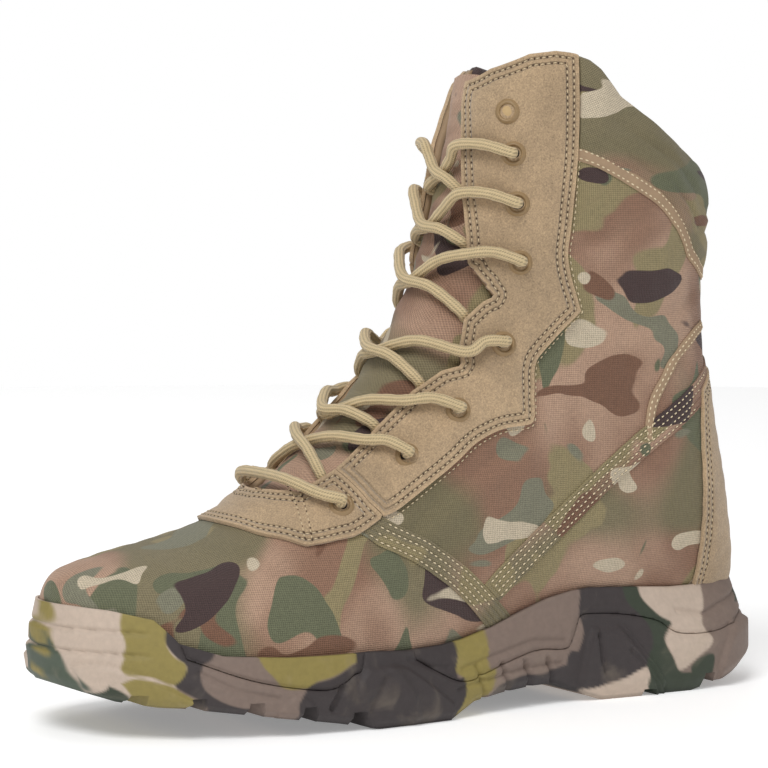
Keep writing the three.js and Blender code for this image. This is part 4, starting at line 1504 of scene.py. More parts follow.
@dataclass
class Upper:
    """The cloth upper with its bands, tape and lining.

    Attributes:
        last: The last.
        bounds: The edges of its pieces.
        wall: Thickness of cloth, foam and lining.
        step: A band's height over the cloth.
        band_rows: A band's stitch rows in mm from its edge.
        band_half: Half of a band's width.
        band_wall: Thickness of a band or a tape.
        tape_row: A tape's stitch row in mm from its edge.
        saddle: Outline of the suede over the toe end of the throat, in mm.
        backstay: Outline of the suede at the heel, in mm.
    """

    last: Last
    bounds: Bounds
    wall: float = 2.6
    step: float = 0.9
    band_rows: tuple[float, ...] = (1.3, 3.7)
    band_half: float = 4.9
    band_wall: float = 1.2
    tape_row: float = 1.1
    saddle: Array = field(default_factory=lambda: rounded(SADDLE, True))
    backstay: Array = field(default_factory=lambda: rounded(BACKSTAY, True))

    def build(self, cloth_rows: Stitching) -> None:
        """Makes the upper's pieces.

        Args:
            cloth_rows: Takes the stitch rows on the cloth.
        """
        self._shell()
        self._bands(cloth_rows)
        self._tapes(cloth_rows)
        seam = beside(rounded(FACING_EDGE, False), -1.3)
        for side in Side:
            cloth_rows.add([self.last.laid(seam, side, 0.12)])

    def _shell(self) -> None:
        """The hollow cloth upper with its lining."""
        cutter = Cutter(self.last, 1.7)
        body = cutter.cut("upper_cloth", (0.0, 17.6), (-1.0, 1.0), self.bounds.upper, 0.0, 0.8)
        closed_up(body.piece.data, turn=False)
        thicken(body.piece, self.wall)
        cloth = Camouflage("quarter_cloth", Weave(1.05, 45.0), (0.31, 0.12, 0.07)).material()
        lining = Plain("lining_leather", tone(150, 124, 94), 0.6, 700, 0.10).material()
        wall = body.piece.modifiers["wall"]
        wall.material_offset, wall.material_offset_rim = 1, 1
        seated(dressed(body.piece, cloth, lining), "upper_cloth", "upper")

    def _bands(self, cloth_rows: Stitching) -> None:
        """The stitched bands over the quarter and the vamp.

        Args:
            cloth_rows: Where the stitches go.
        """
        cloth = Camouflage("band_cloth", Weave(1.05, 30.0), (0.9, 0.4, 0.2), self.band_rows).material()
        fine = Cutter(self.last, 1.0)
        vamp = rounded(VAMP_BAND, False)
        for name, line, under, s_range, q_range in (
            ("quarter_band", rounded(QUARTER_BAND, False), vamp, (6.0, 17.2), (0.2, 1.0)),
            ("vamp_band", vamp, None, (4.0, 13.0), (0.08, 0.95)),
        ):
            region = self._band(line, under)
            for side in Side:
                label, span = f"{name}_{side.name.lower()}", mirrored(q_range, side)
                band = fine.cut(label, s_range, span, region, self._raised, 0.55)
                thicken(band.piece, self.band_wall, 0.35)
                seated(dressed(band.piece, cloth), "upper_cloth")
                self._band_rows(cloth_rows, line, side, under)

    def _band(self, line: Array, under: Optional[Array]) -> Region:
        """A band along a line, which ends in the sole's rim and at the band that it runs under.

        Args:
            line: The band's middle in side view, in mm.
            under: The middle of the band that it runs under, if there is one.

        Returns:
            The region.
        """

        def region(s: Array, u: Array, at: Array) -> Array:
            flat = at[..., [0, 2]]
            edge = np.maximum(nearest_on(line, flat) - self.band_half, bed(at[..., 0]) - 2 - at[..., 2])
            return edge if under is None else np.maximum(edge, self.band_half + 0.2 - nearest_on(under, flat))

        return region

    def _band_rows(self, rows: Stitching, line: Array, side: Side, under: Optional[Array]) -> None:
        """Adds a band's stitch rows.

        Args:
            rows: Where the stitches go.
            line: The band's middle in side view, in mm.
            side: The side of the boot.
            under: The middle of the band that it runs under, if there is one.
        """

        def bare(at: Array) -> Array:
            flat = at[:, [0, 2]]
            hidden = (bed(at[:, 0]) + 15.5 - at[:, 2] > 0) | (at[:, 0] < -40 * PERCENT[0])
            for suede in (self.saddle, self.backstay):
                hidden |= outside(suede, flat) < 1
            return hidden if under is None else hidden | (nearest_on(under, flat) < self.band_half + 0.8)

        for inset in self.band_rows:
            for way in (-1, 1):
                flat = beside(line, way * (self.band_half - inset))
                rows.add([self.last.laid(flat, side, self.step - 0.1)], bare)

    def _raised(self, s: Array, u: Array, edge: Array) -> Array:
        """A band's height, soft at its edge and pulled down at its stitch rows."""
        rows = sum(np.exp(-(((edge - inset) / 0.8) ** 2)) for inset in self.band_rows)
        return self.step * (0.7 + 0.3 * smooth_step(edge, 0, 0.9)) - 0.22 * rows

    def _tapes(self, cloth_rows: Stitching) -> None:
        """The welt under the collar and the tape behind the quarter.

        Args:
            cloth_rows: Where the stitches go.
        """
        tan = Plain("tape", tone(160, 135, 108), 0.85, 900, 0.14, 0.25).material()
        welt = rounded(COLLAR_LINE, False)
        tape = rounded(REAR_TAPE, False)
        fine = Cutter(self.last, 0.9)
        for name, line, low, high, s_range, q_range in (
            ("collar_welt", welt, -5.6, -0.5, (15.0, 17.9), (0.2, 1.0)),
            ("rear_tape", tape, -2.1, 2.1, (11.5, 16.6), (0.45, 1.0)),
        ):
            region = self.bounds.panel(np.vstack([beside(line, low), beside(line, high)[::-1]]))
            for side in Side:
                label, span = f"{name}_{side.name.lower()}", mirrored(q_range, side)
                strip = fine.cut(label, s_range, span, region, self._taped, 0.7)
                thicken(strip.piece, self.band_wall, 0.3)
                seated(dressed(strip.piece, tan), "upper_cloth")
                cloth_rows.add(strip.row(self.tape_row))

    def _taped(self, s: Array, u: Array, edge: Array) -> Array:
        """Height of a tape, soft at its edge and pulled down at its stitch row."""
        row = np.exp(-(((edge - self.tape_row) / 0.6) ** 2))
        return 0.45 + 0.55 * smooth_step(edge, 0, 1.2) - 0.2 * row


def beside(line: Array, offset: float) -> Array:
    """A flat line moved sideways, to its left above zero."""
    way = unit(np.gradient(line, axis=0))
    return line + offset * np.stack([-way[:, 1], way[:, 0]], axis=1)


@dataclass
class Overlays:
    """Suede facings, saddle and backstay.

    Attributes:
        last: The last.
        bounds: The edges of the throat and the top.
        suede: Their thickness.
        clear: Between them and the cloth.
        rows: Stitch rows in mm from the edge.
        seam: Half of the way between the rows of the saddle's seam.
    """

    last: Last
    bounds: Bounds
    suede: float = 1.5
    clear: float = 0.3
    rows: tuple[float, ...] = (1.9, 4.3)
    seam: float = 1.1

    def build(self, rows: Stitching) -> None:
        """Makes the overlays.

        Args:
            rows: Takes the stitch rows on the suede.
        """
        material = Suede("suede", rows=self.rows).material()
        cutter = Cutter(self.last, 1.05)
        pieces = (
            ("facing_outer", FACING, (7.0, 18.0), (0.02, 0.62)),
            ("facing_inner", FACING, (7.0, 18.0), (-0.62, -0.02)),
            ("vamp_saddle", SADDLE, (2.8, 9.2), (-0.56, 0.56)),
            ("backstay_outer", BACKSTAY, (10.5, 16.2), (0.55, 1.0)),
            ("backstay_inner", BACKSTAY, (10.5, 16.2), (-1.0, -0.55)),
        )
        for name, outline, s_range, q_range in pieces:
            region = self.bounds.overlay(rounded(outline, True))
            guide = 0.85 if "backstay" in name else 0.3
            patch = cutter.cut(name, s_range, q_range, region, self._lying, guide)
            thicken(patch.piece, self.suede, 0.45)
            nodes = {"backstay_outer": ("backstay",), "backstay_inner": ()}.get(name, (name,))
            seated(dressed(patch.piece, material), "suede", *nodes)
            for inset in self.rows:
                rows.add(patch.row(inset), self._bare(name))
        for shift in (-self.seam, self.seam):
            line = beside(rounded(SADDLE_SEAM, False), shift)
            for side in Side:
                rows.add([self.last.laid(line, side, self.clear + self.suede)])

    def _lying(self, s: Array, u: Array, edge: Array) -> Array:
        """Height of the suede's face, soft at its edge and pulled down at its stitch rows."""
        rows = sum(np.exp(-(((edge - inset) / 0.9) ** 2)) for inset in self.rows)
        return self.clear + self.suede - 0.20 * rows + 0.12 * smooth_step(edge, 5, 8)

    @staticmethod
    def _bare(name: str) -> Callable[[Array], Array]:
        """Where the suede has no stitches: under the saddle, in the sole and along the back seam.

        Args:
            name: The suede piece's name.

        Returns:
            A test of points in mm.
        """
        under_saddle, rim, middle = 5.2, 16.5 * PERCENT[1], 5.5

        def bare(at: Array) -> Array:
            if "facing" in name:
                return nearest_on(in_mm(FACING_FOOT), at[:, [0, 2]]) < under_saddle
            if "backstay" in name:
                return (at[:, 2] < rim) | (np.abs(at[:, 1] - 0.8) < middle)
            return np.zeros(len(at), bool)

        return bare


@dataclass
class Collar:
    """The padded collar, swept round the shaft from one facing to the other.

    Attributes:
        last: The last.
        out: How far its padding stands out.
        inwards: How far its padding stands in.
        gap: Between its end and the facing.
        section: Its outline across: the share of the way up, and the padding, out above zero.
        tucks: Its deep folds: share of the way up, depth in mm, and shares of the way round that they span.
    """

    last: Last
    out: float = 2.4
    inwards: float = 7.0
    gap: float = 0.3
    section: Pairs = (
        (-0.1, 0.1), (0.12, 0.7), (0.4, 1), (0.75, 0.9), (0.93, 0.35), (1, -0.25), (0.95, -0.75), (0.75, -1),
        (0.4, -1), (0.1, -0.7), (-0.1, -0.4), (-0.1, -0.15),
    )
    tucks: Pairs = ((0.36, 1.6, 0.0, 0.75), (0.62, 1.2, 0.15, 0.95), (0.18, 0.8, 0.4, 1.0))

    def build(self) -> None:
        """Makes the collar."""
        section = np.array(self.section)
        mesh, share = sheet_mesh("collar", 72, 220)
        turn = share[:, 0] * len(section)
        wrapped = np.vstack([section[-1:], section, section[:2]])
        v, d = (blend(wrapped[:, k], turn + 1) for k in (0, 1))
        w = 2 * share[:, 1] - 1
        side = np.where(w < 0, 1.0, -1.0)
        t = 1 - self._reach(v, d, side) * np.abs(w)
        u = side * t
        s = self._across(u, v)
        high = self._padding(d) + self._folds(v, w, d)
        at = self.last.point(s, u) + self.last.normal(s, u) * high[:, None]
        move_points(mesh, at)
        sealed(mesh)
        piece = object_of("collar_padding", mesh)
        place, spread = (0.55, 0.25, 0.8), (0.55, 0.55, 1.5)
        cloth = Camouflage("collar_cloth", Weave(1.05, 20.0), place, (), spread, 0.64).material()
        seated(dressed(piece, cloth), "upper_cloth", "collar")

    def _folds(self, v: Array, w: Array, d: Array) -> Array:
        """Height of the folds in the outer face, at shares v of the way up, w of the way round and d out.

        Args:
            v: Shares of the way up.
            w: Shares of the way round.
            d: Shares of the way out.

        Returns:
            The heights in mm.
        """
        fold = np.sin(w * 19 + v * 2.2) * 0.45 + np.sin(w * 43 - v * 5) * 0.22
        tuck = np.zeros_like(v)
        narrow, fade = 0.055, 0.2
        for level, deep, start, stop in self.tucks:
            line = level + 0.05 * np.sin(w * 7 + level * 9)
            begun, ended = (smooth_step(np.abs(w), x, x + fade) for x in (start, stop - fade))
            tuck -= deep * np.exp(-(((v - line) / narrow) ** 2)) * (begun * (1 - ended))
        loose = 1 - smooth_step(np.abs(w), 0.9, 1.0)
        return np.where(d > 0, fold + tuck * d, 0) * loose

    def _padding(self, d: Array) -> Array:
        """Height over the last at a share of the padding, out above zero and in below it."""
        return d * np.where(d > 0, self.out, self.inwards)

    def _across(self, u: Array, v: Array) -> Array:
        """Places at a share of the way from the seam to the top line."""
        low, high = self._place(u, COLLAR_LINE, COLLAR_LINE), self._place(u, TOP_LINE, INNER_TOP_LINE)
        return low + (high - low) * v

    def _reach(self, v: Array, d: Array, side: Array) -> Array:
        """The way round from the back at which the collar meets the facing's rear edge.

        Args:
            v: Shares of the way up.
            d: Shares of the way out.
            side: 1 outer, -1 inner.

        Returns:
            The way round.
        """
        front = FACING_REAR * LENGTH / 100 - self.gap
        keys, where = np.unique(np.round(np.stack([v, d, side], axis=1), 6), axis=0, return_inverse=True)
        low, high = np.full(len(keys), 0.4), np.full(len(keys), 0.95)
        for _ in range(18):
            middle = (low + high) / 2
            u = keys[:, 2] * (1 - middle)
            s = self._across(u, keys[:, 0])
            x = (self.last.point(s, u) + self.last.normal(s, u) * self._padding(keys[:, 1])[:, None])[:, 0]
            high, low = np.where(x > front, middle, high), np.where(x > front, low, middle)
        return ((low + high) / 2)[where.ravel()]

    def _place(self, u: Array, outer: Pairs, inner: Pairs) -> Array:
        """Where the way up the last at u meets a side-view line.

        Args:
            u: The way round the sections.
            outer: The line on the outer side.
            inner: The line on the inner side.

        Returns:
            Places s.
        """
        low, high = np.full_like(u, 13.0), np.full_like(u, Last.end)
        for _ in range(30):
            middle = (low + high) / 2
            at = self.last.point(middle, u)
            x = at[:, 0] / LENGTH * 100
            line = np.where(u > 0, read(outer, x), read(inner, x)) * HEIGHT / 100
            over = at[:, 2] > line
            high, low = np.where(over, middle, high), np.where(over, low, middle)
        return (low + high) / 2


@dataclass
class Tongue:
    """The padded tongue in the throat, under both facings.

    Attributes:
        last: The last.
        thick: Its thickness.
        under: Depth of its face at its edge.
        lap: How far it reaches under the throat's edge.
    """

    last: Last
    thick: float = 5.0
    under: float = 3.5
    lap: float = 8.0

    def build(self) -> None:
        """Makes the tongue."""
        cutter = Cutter(self.last, 1.3)
        patch = cutter.cut("tongue_padding", (5.9, 16.4), (-0.5, 0.5), self._region, self._puffed, 0.05)
        thicken(patch.piece, self.thick, 0.8)
        cloth = Camouflage("tongue_cloth", Weave(1.2, 45.0), (0.05, 0.65, 0.33)).material()
        seated(dressed(patch.piece, cloth), "upper_cloth", "tongue")

    def _region(self, s: Array, u: Array, at: Array) -> Array:
        """Inside the throat and under its edges."""
        return (np.abs(u) - read(THROAT, s)) * self.last.round_rate(s, u) - self.lap

    def _puffed(self, s: Array, u: Array, edge: Array) -> Array:
        """Depth of its face: full in the middle, with folds across."""
        folds = 0.8 * np.sin(s * 5.3 + 3 * np.abs(u)) + 0.35 * np.sin(s * 11.7 - 14 * u)
        return -self.under + 0.9 * smooth_step(edge, 0, 7) + 0.6 * folds * smooth_step(edge, 3, 9)


@dataclass
class Footbed:
    """The cloth-topped insole.

    Attributes:
        last: The last.
        thick: Its thickness.
        inset: Between its edge and the last.
        heel: Its rear end, in hundredths of the sole's length.
        toe: Its front end.
    """

    last: Last
    thick: float = 4.5
    inset: float = 2.9
    heel: float = -45.2
    toe: float = 48.6

    def build(self) -> None:
        """Makes the insole from the last's outline at the footbed."""
        mesh, share = sheet_mesh("insole", 40, 130)
        x = (self.heel + (self.toe - self.heel) * (1 - np.cos(np.pi * share[:, 1])) / 2) * PERCENT[0]
        level = bed(x) + self.thick * 0.6
        halves = []
        for side in Side:
            s, u = self.last.place(x, level, side)
            halves.append(self.last.point(s, u)[:, 1] - side.value * self.inset)
        outer, inner = np.maximum(halves[0], -4.5), np.minimum(halves[1], halves[0] - 0.2)
        y = inner + (outer - inner) * share[:, 0]
        rim = np.abs(2 * share[:, 0] - 1) ** 6
        z = bed(x) + self.thick + 1.2 * rim * (x < -20)
        move_points(mesh, np.stack([x, y, z - 0.3], axis=1))
        closed_up(mesh)
        piece = object_of("footbed", mesh)
        thicken(piece, self.thick - 0.4, 0.5)
        cloth = Plain("footbed_cloth", tone(92, 80, 66), 0.9, 1100, 0.12, 0.3).material()
        seated(dressed(piece, cloth), "insole_fabric", "insole")


# The sole from heel to toe: x in hundredths of the length, outer and inner half width in hundredths of the
# ball's width, the rim's height in hundredths of the height, and the tread's in hundredths of the toe's
SOLE = (
    (-48.8, 38, 38, 16.6, 71), (-48.1, 38, 38, 16.6, 65.8), (-45.8, 38, 38, 16.4, 44.7),
    (-42, 38, 38, 16.2, 25), (-38.5, 38, 38, 16.1, 10.5), (-35, 38, 38, 16.2, 0), (-28, 37.6, 36.8, 16.9, 0),
    (-21, 37.2, 35.6, 17.5, 0), (-18, 37.6, 35, 17.3, 15.8), (-14, 38.8, 34.3, 16.5, 43.4),
    (-10, 40, 34.2, 15.0, 43.4), (-5, 42.5, 34.8, 12.9, 38.1), (-0.5, 45, 37, 11.6, 28.9),
    (3.2, 47.3, 40.3, 11.1, 0), (9, 49.3, 44.5, 11.0, 0),
    (14.5, 50.8, 47.3, 11.5, 0), (20, 51.5, 48.7, 11.5, 17.1), (26, 51.1, 48.6, 11.6, 32.9),
    (34, 49.6, 46.9, 12.2, 51.3), (39, 48.5, 45.8, 14.2, 61.8), (41.5, 48, 45.3, 17.6, 64.4),
    (45.5, 47.2, 44.6, 18.8, 73.7), (48.4, 46.5, 44.2, 19.2, 89.4), (49.6, 46.2, 44, 19.3, 97.3),
    (50, 46, 44, 19.3, 100),
)
HEEL_END, TOE_END = SOLE[0][0], SOLE[-1][0]

# The line between foam and rubber, and the outlines of what stands out from the side, in side view
PARTING = (
    (-56, 12.6), (-47, 11), (-40, 9), (-33, 9.2), (-29.5, 11.5), (-24, 13), (-18.5, 13.6), (-17.2, 13.2),
    (-15.8, 9.5), (-14.5, 8.6), (-9.9, 8.8), (-2, 6.4), (0.5, 5.6), (3.3, 6.2), (8.4, 9.6), (9.4, 21),
    (15.4, 21), (16.4, 10.2), (18, 8.4), (20.5, 6.8), (24, 6.9), (31, 8.7), (38, 12), (40, 21), (56, 21),
)
RAISED = (
    ((11, -2), (14.5, -2), (17.4, 5), (17.2, 7.2), (15.5, 9), (11.5, 9), (9, 7.5), (3.6, 2.5), (3.4, -2)),
    ((36.6, 5.4), (40, 7.6), (43.5, 9.8), (46.5, 10.8), (48.5, 10.6), (47.2, 7.2), (44, 6), (40.5, 5)),
    (
        (-18.5, 10.2), (-19.5, 11.3), (-23.5, 11.4), (-26.5, 7.5), (-29.5, 3), (-30.5, -2), (-20, -2),
        (-17, 2.5),
    ),
    ((-38.9, -2), (-39.3, 4), (-42.6, 9.8), (-56, 9.4), (-56, -2)),
)

# The tread's grooves: middle x, depth in mm, and both ends across, in hundredths of the ball's width
GROOVES = (
    (43.2, 4.0, -60, 60), (37, 4.5, -60, 60), (30.5, 5, 12, 60), (29, 5, -60, -8), (24, 5.5, 10, 60),
    (22.5, 5.5, -60, -10), (17.2, 5.5, -60, 60), (10.5, 5.5, -24, 24), (-24.5, 5.5, -22, 22),
    (-27.6, 2.5, -60, 60), (-31.5, 5.5, -22, 22), (-37.2, 5, -60, 60),
)
STEPS = (15.6, 12.4)  # heights of the toe bumper's steps

# Ridges and grooves in the sole's side, the ribs of the arch first
RIBS = tuple(
    Crease(((foot, -1), (foot + 0.25, 2.2), (foot + 0.8, 5.0), (foot + 1.6, 7.4)), -2.2, 0.9)
    for foot in (-2.4, -6.4, -10, -13.6)
)
RIDGES = (
    Crease(((-19.9, 10.2), (-20.2, 11.2), (-23.3, 11.4), (-27.8, 4.7), (-30.1, 0.6)), -1.3, 0.9),
    Crease(((-33.0, 12.6), (-37.6, 11.6), (-41.0, 12.8), (-46, 14.0)), -1.2, 0.8),
    Crease(((9.5, 1.0), (10.4, 5.0), (12.6, 8.6)), 1.2, 2.2),
    Crease(((16.6, -1), (15.6, 4), (13.6, 7.6)), -1.2, 1.6),
    Crease(((3.6, 7.8), (7, 8.4), (9.6, 9.8)), -0.9, 1.1),
    Crease(((2.6, 4.6), (-2, 5.3), (-8, 6.4), (-14, 6.6)), -1.1, 0.9),
    Crease(((1.5, 7.4), (-4, 8.8), (-9.5, 10.4), (-14.6, 10)), -0.9, 0.9),
    Crease(((-20.0, 10), (-20.3, 6.5), (-20.9, 4.4)), -1.7, 1.0),
    Crease(((-23.4, 9.4), (-27.4, 3.6), (-29, -1)), 1.0, 2.0),
    Crease(((-24.4, 7.6), (-27.2, 4.4), (-29.4, 0)), -1.4, 0.9),
    Crease(((28, 6), (33, 7.4), (37, 10)), -0.8, 0.9),
)
SLOT = ((20.9, 3.9), (19.5, 6.6))
LUG, LUG_SIZE = (25.4, 0.6), (9.0, 14.0)  # middle of the half-round lug, and its half sizes in mm


class Earth(Enum):
    """The rubber's colours."""

    BEIGE = tone(190, 172, 156)
    MUSTARD = tone(139, 125, 68)
    SLATE = tone(57, 50, 50)
    TAUPE = tone(124, 107, 97)
    GREEN = tone(74, 84, 70)
    DARK_GREEN = tone(52, 60, 46)


@dataclass(frozen=True)
class Zone:
    """A stretch of one rubber colour in side view, which covers the ones before it.

    Attributes:
        colour: Its colour.
        outline: Its corners.
    """

    colour: Earth
    outline: Pairs


ZONES = (
    Zone(Earth.TAUPE, ((-56, -4), (-56, 30), (40.4, 30), (39.4, 13.4), (38, 10), (37.4, -4))),
    Zone(Earth.SLATE, (
        (40.4, 22), (39.8, 13.9), (38.5, 10.8), (39.4, 8.6), (38.4, 7.2), (36, 4.4), (34.6, -3), (29.6, -3),
        (29.6, 3.4), (32.6, 4.8), (36.3, 7.6), (36.8, 10.6), (34.6, 13.4), (34, 22),
    )),
    Zone(Earth.MUSTARD, (
        (44, 26), (44.1, 15.2), (44.5, 12.6), (44.3, 9.7), (41.6, 9.6), (39.3, 8.5), (38.5, 11), (39.9, 14),
        (40, 26),
    )),
    Zone(Earth.MUSTARD, (
        (44.9, 8.4), (43, 9.2), (40, 8.5), (38.6, 7.1), (36.4, 4.9), (40.7, 4.6), (43.6, 5.6),
    )),
    Zone(Earth.DARK_GREEN, (
        (46.2, 8.2), (45.1, 7.2), (43.2, 5.2), (40.8, 4.0), (39, -2), (44.6, -2), (47, 5.4),
    )),
    Zone(Earth.MUSTARD, ((49.75, 30), (49.6, 12), (49.7, 7), (56, 5), (56, 30))),
    Zone(Earth.GREEN, (
        (49.75, 15), (49.2, 10.4), (47.4, 7.6), (46.2, 6.0), (47.6, 5.2), (49.7, 8.0), (50.2, 12),
    )),
    Zone(Earth.MUSTARD, (
        (30.4, 22), (29.8, 12), (28.8, 9.3), (27, 7.4), (24.2, 6.9), (23, 8.1), (18.4, 9.7), (17, 11.6),
        (16.4, 22),
    )),
    Zone(Earth.SLATE, (
        (17.2, 22), (17.3, 11.4), (18.6, 9.5), (23.3, 7.8), (24.4, 6.6), (25.6, 3.4), (24, -3), (1.6, -3),
        (1.2, 5.9), (2.4, 7.4), (2.0, 22),
    )),
    Zone(Earth.MUSTARD, (
        (2.3, 22), (2.2, 10.7), (2.5, 7.4), (1.2, 5.8), (2.3, 1.4), (2.6, -3), (-1.5, -3), (-2.4, 2.6),
        (-3.8, 6.7), (-2.6, 8), (-2.8, 22),
    )),
    Zone(Earth.SLATE, ((-3.8, 4.4), (-10, 5.2), (-16, 5.6), (-16, 1), (-4.4, 1))),
    Zone(Earth.SLATE, (
        (-17.5, 24), (-17.4, 9.6), (-15.6, 7.8), (-14.6, 4.6), (-15.2, 1.6), (-21.7, 2.6), (-26.5, 4.6),
        (-29.3, 8.6), (-26, 15.6), (-24.2, 24),
    )),
    Zone(Earth.DARK_GREEN, (
        (-24.2, 24), (-24.6, 16.6), (-28.6, 8.8), (-26.6, 4.4), (-27.2, -3), (-36.2, -3), (-35.8, 2),
        (-32.2, 3.6), (-30.4, 8.4), (-31.5, 11.2), (-29.3, 12.9), (-27.1, 16.8), (-27, 24),
    )),
    Zone(Earth.BEIGE, ((-21.7, 2.4), (-26.4, 4.6), (-27.3, 1.6), (-26.6, -3), (-20, -3), (-17.3, 2.2))),
    Zone(Earth.BEIGE, (
        (-27.1, 24), (-27.1, 16.8), (-29.3, 12.7), (-31.6, 11), (-30.5, 8.4), (-32.3, 3.6), (-35.5, 5.6),
        (-38.2, 8), (-36.9, 10.7), (-38.4, 15.8), (-38.4, 24),
    )),
    Zone(Earth.DARK_GREEN, ((-34, 3.6), (-36.2, 5.6), (-37.8, 5.4), (-37.8, 2.6), (-35.9, 1))),
    Zone(Earth.DARK_GREEN, ((-44.8, 12.6), (-46.4, 15), (-48.6, 22), (-52, 22), (-52, 12))),
)


@dataclass
class Sole:
    """Midsole and outsole, cut from one body whose relief follows side-view outlines.

    Attributes:
        last: The last.
        spring: Height of the tread under the tip of the toe.
        clear: Between midsole and outsole.
        wing: How far the wings of the rubber stand out.
        groove: Width of a groove's bottom half way up.
        lip: How much wider than the last the rim is, as a share.
        end_lip: How far the rim stands out over the ends.
        bow: How far the tip of the toe turns to the inner side, in hundredths of the ball's width.
        toe_from: Where the toe's round plan starts, in hundredths of the length.
        heel_from: Where the heel's starts.
        plan_power: How square the plan's ends are.
        stations: Faces along it.
        levels: Faces up a side.
        flat: Faces across the tread, and across the top.
    """

    last: Last
    spring: float = 18.4
    clear: float = 0.3
    wing: float = 1.8
    groove: float = 7.0
    lip: float = 0.085
    end_lip: float = 2.4
    bow: float = 4.5
    toe_from: float = 24.0
    heel_from: float = 33.0
    plan_power: float = 2.15
    stations: int = 400
    levels: int = 46
    flat: int = 26

    def build(self) -> None:
        """Makes the two pieces of the sole."""
        rubber, foam = Moulded("outsole_rubber", 0.66).material(), Moulded("midsole_foam", 0.74).material()
        body = self._body()
        for tool in (self._cavity(), self._grooves()):
            self._cut(body, tool, "DIFFERENCE")
        for name, slot, way, material in (
            ("midsole_unit", "midsole_foam", "INTERSECT", foam),
            ("outsole_unit", "outsole_rubber", "DIFFERENCE", rubber),
        ):
            piece = object_of(name, body.data.copy())
            self._cut(piece, self._over_parting(0.0 if way == "INTERSECT" else self.clear), way)
            self._colour(piece.data)
            seated(dressed(piece, material), slot, name.split("_")[0])
        bpy.data.objects.remove(body)

    def _tread(self, x: Array) -> Array:
        """Height of the tread at x, in mm."""
        return read([(row[0], row[4]) for row in SOLE], x / PERCENT[0]) * self.spring / 100

    def _side(self, x: Array, v: Array, side: Array) -> Array:
        """Points of the sole's side.

        Args:
            x: Places in hundredths of the length.
            v: Shares of the way up, 0 at the tread and 1 at the rim.
            side: 1 outer, -1 inner.

        Returns:
            Points in mm.
        """
        column = [read([(row[0], row[k]) for row in SOLE], x) for k in range(5)]
        level, growth, to_last = (
            np.interp(v, (0, 0.12, 0.42, 0.72, 1), values)
            for values in ((0, 0.12, 0.42, 0.72, 1), (-2.5, 0, 0.6, 0, -1.2), (0, 0, 0.12, 0.6, 1))
        )
        low, rim = column[4] * self.spring / 100, column[3] * HEIGHT / 100
        z = low + (rim - low) * level
        half = np.where(side > 0, column[1], column[2]) * ACROSS
        round_off = np.ones_like(x)
        for start, stop, way in ((self.toe_from, TOE_END, x), (self.heel_from, -HEEL_END, -x)):
            near = np.clip((way - start) / (stop - start), 0, 1)
            round_off = round_off * (1 - near**self.plan_power) ** (1 / self.plan_power)
        wider = growth / (45 * ACROSS)
        middle = -self.bow * ACROSS * np.maximum(x / TOE_END, 0) ** 2
        y_plan = middle + side * half * round_off * (1 + wider)
        x_plan = x * PERCENT[0] * (1 + growth / 150)
        heel, toe = -45.9, 49.0
        x_last = (heel + (x - HEEL_END) / (TOE_END - HEEL_END) * (toe - heel)) * PERCENT[0]
        seat, shift = self._seat(x_last, np.maximum(rim, bed(x_last) + 2), side)
        y_last = shift + (seat - shift) * (1 + self.lip + wider)
        x_rim = x_last + np.sign(x) * np.abs(x / TOE_END) ** 3 * (self.end_lip + growth)
        x, y = x_plan + (x_rim - x_plan) * to_last, y_plan + (y_last - y_plan) * to_last
        return np.stack([x, y, z], axis=-1)

    def _seat(self, x: Array, z: Array, side: Array) -> tuple[Array, Array]:
        """Where the last's side and its middle lie across the boot at x, z in mm.

        Args:
            x: Places along the boot.
            z: Heights.
            side: 1 outer, -1 inner.

        Returns:
            The side and the middle, in mm.
        """
        seats = []
        for which in Side:
            s, u = self.last.place(x, z, which)
            seats.append(self.last.point(s, u)[..., 1])
            shift = self.last.section(s)["shift"]
        return np.where(side > 0, seats[0], seats[1]), shift

    def _body(self) -> bpy.types.Object:
        """The whole sole, closed under the tread and over the rim.

        Returns:
            The object.
        """
        n, flat = self.levels, self.flat
        turns = 2 * n + 2 * flat
        mesh, share = sheet_mesh("sole", turns, self.stations)
        lap = np.round(share[:, 0] * turns) % turns
        run = share[:, 1]
        ends = (1 - np.cos(np.pi * run)) / 2
        x = HEEL_END + (TOE_END - HEEL_END) * (0.45 * ends + 0.55 * run)
        x[run <= 0], x[run >= 1] = HEEL_END, TOE_END
        on_outer, on_top = lap <= n, (lap > n) & (lap < n + flat)
        on_inner = (lap >= n + flat) & (lap <= 2 * n + flat)
        v = np.clip(np.where(on_outer, lap, turns - flat - lap) / n, 0, 1)
        at = self._side(x, v, np.where(on_outer, 1.0, -1.0))
        for band, level in ((on_top, 1.0), (~on_outer & ~on_top & ~on_inner, 0.0)):
            places, levels = x[band], np.full(band.sum(), level)
            first, second = (self._side(places, levels, np.full_like(levels, way)) for way in (1, -1))
            start = lap[band] - (n if level else 2 * n + flat)
            mix = (start / flat if level else 1 - start / flat)[:, None]
            at[band] = first * (1 - mix) + second * mix
        move_points(mesh, at)
        store(mesh, "side", (on_outer | on_inner).astype(float))
        sealed(mesh)
        at = points_of(mesh) / MM - CENTRE
        on_side = np.empty(len(at), np.float32)
        mesh.attributes["side"].data.foreach_get("value", on_side)
        normal = np.empty(len(at) * 3, np.float32)
        mesh.vertices.foreach_get("normal", normal)
        level = normal.reshape(-1, 3) * (1, 1, 0)
        at = at + unit(level) * (self._relief(at) * on_side)[:, None]
        at[:, 2] = np.maximum(at[:, 2], 0)
        move_points(mesh, at)
        return object_of("sole_body", mesh)

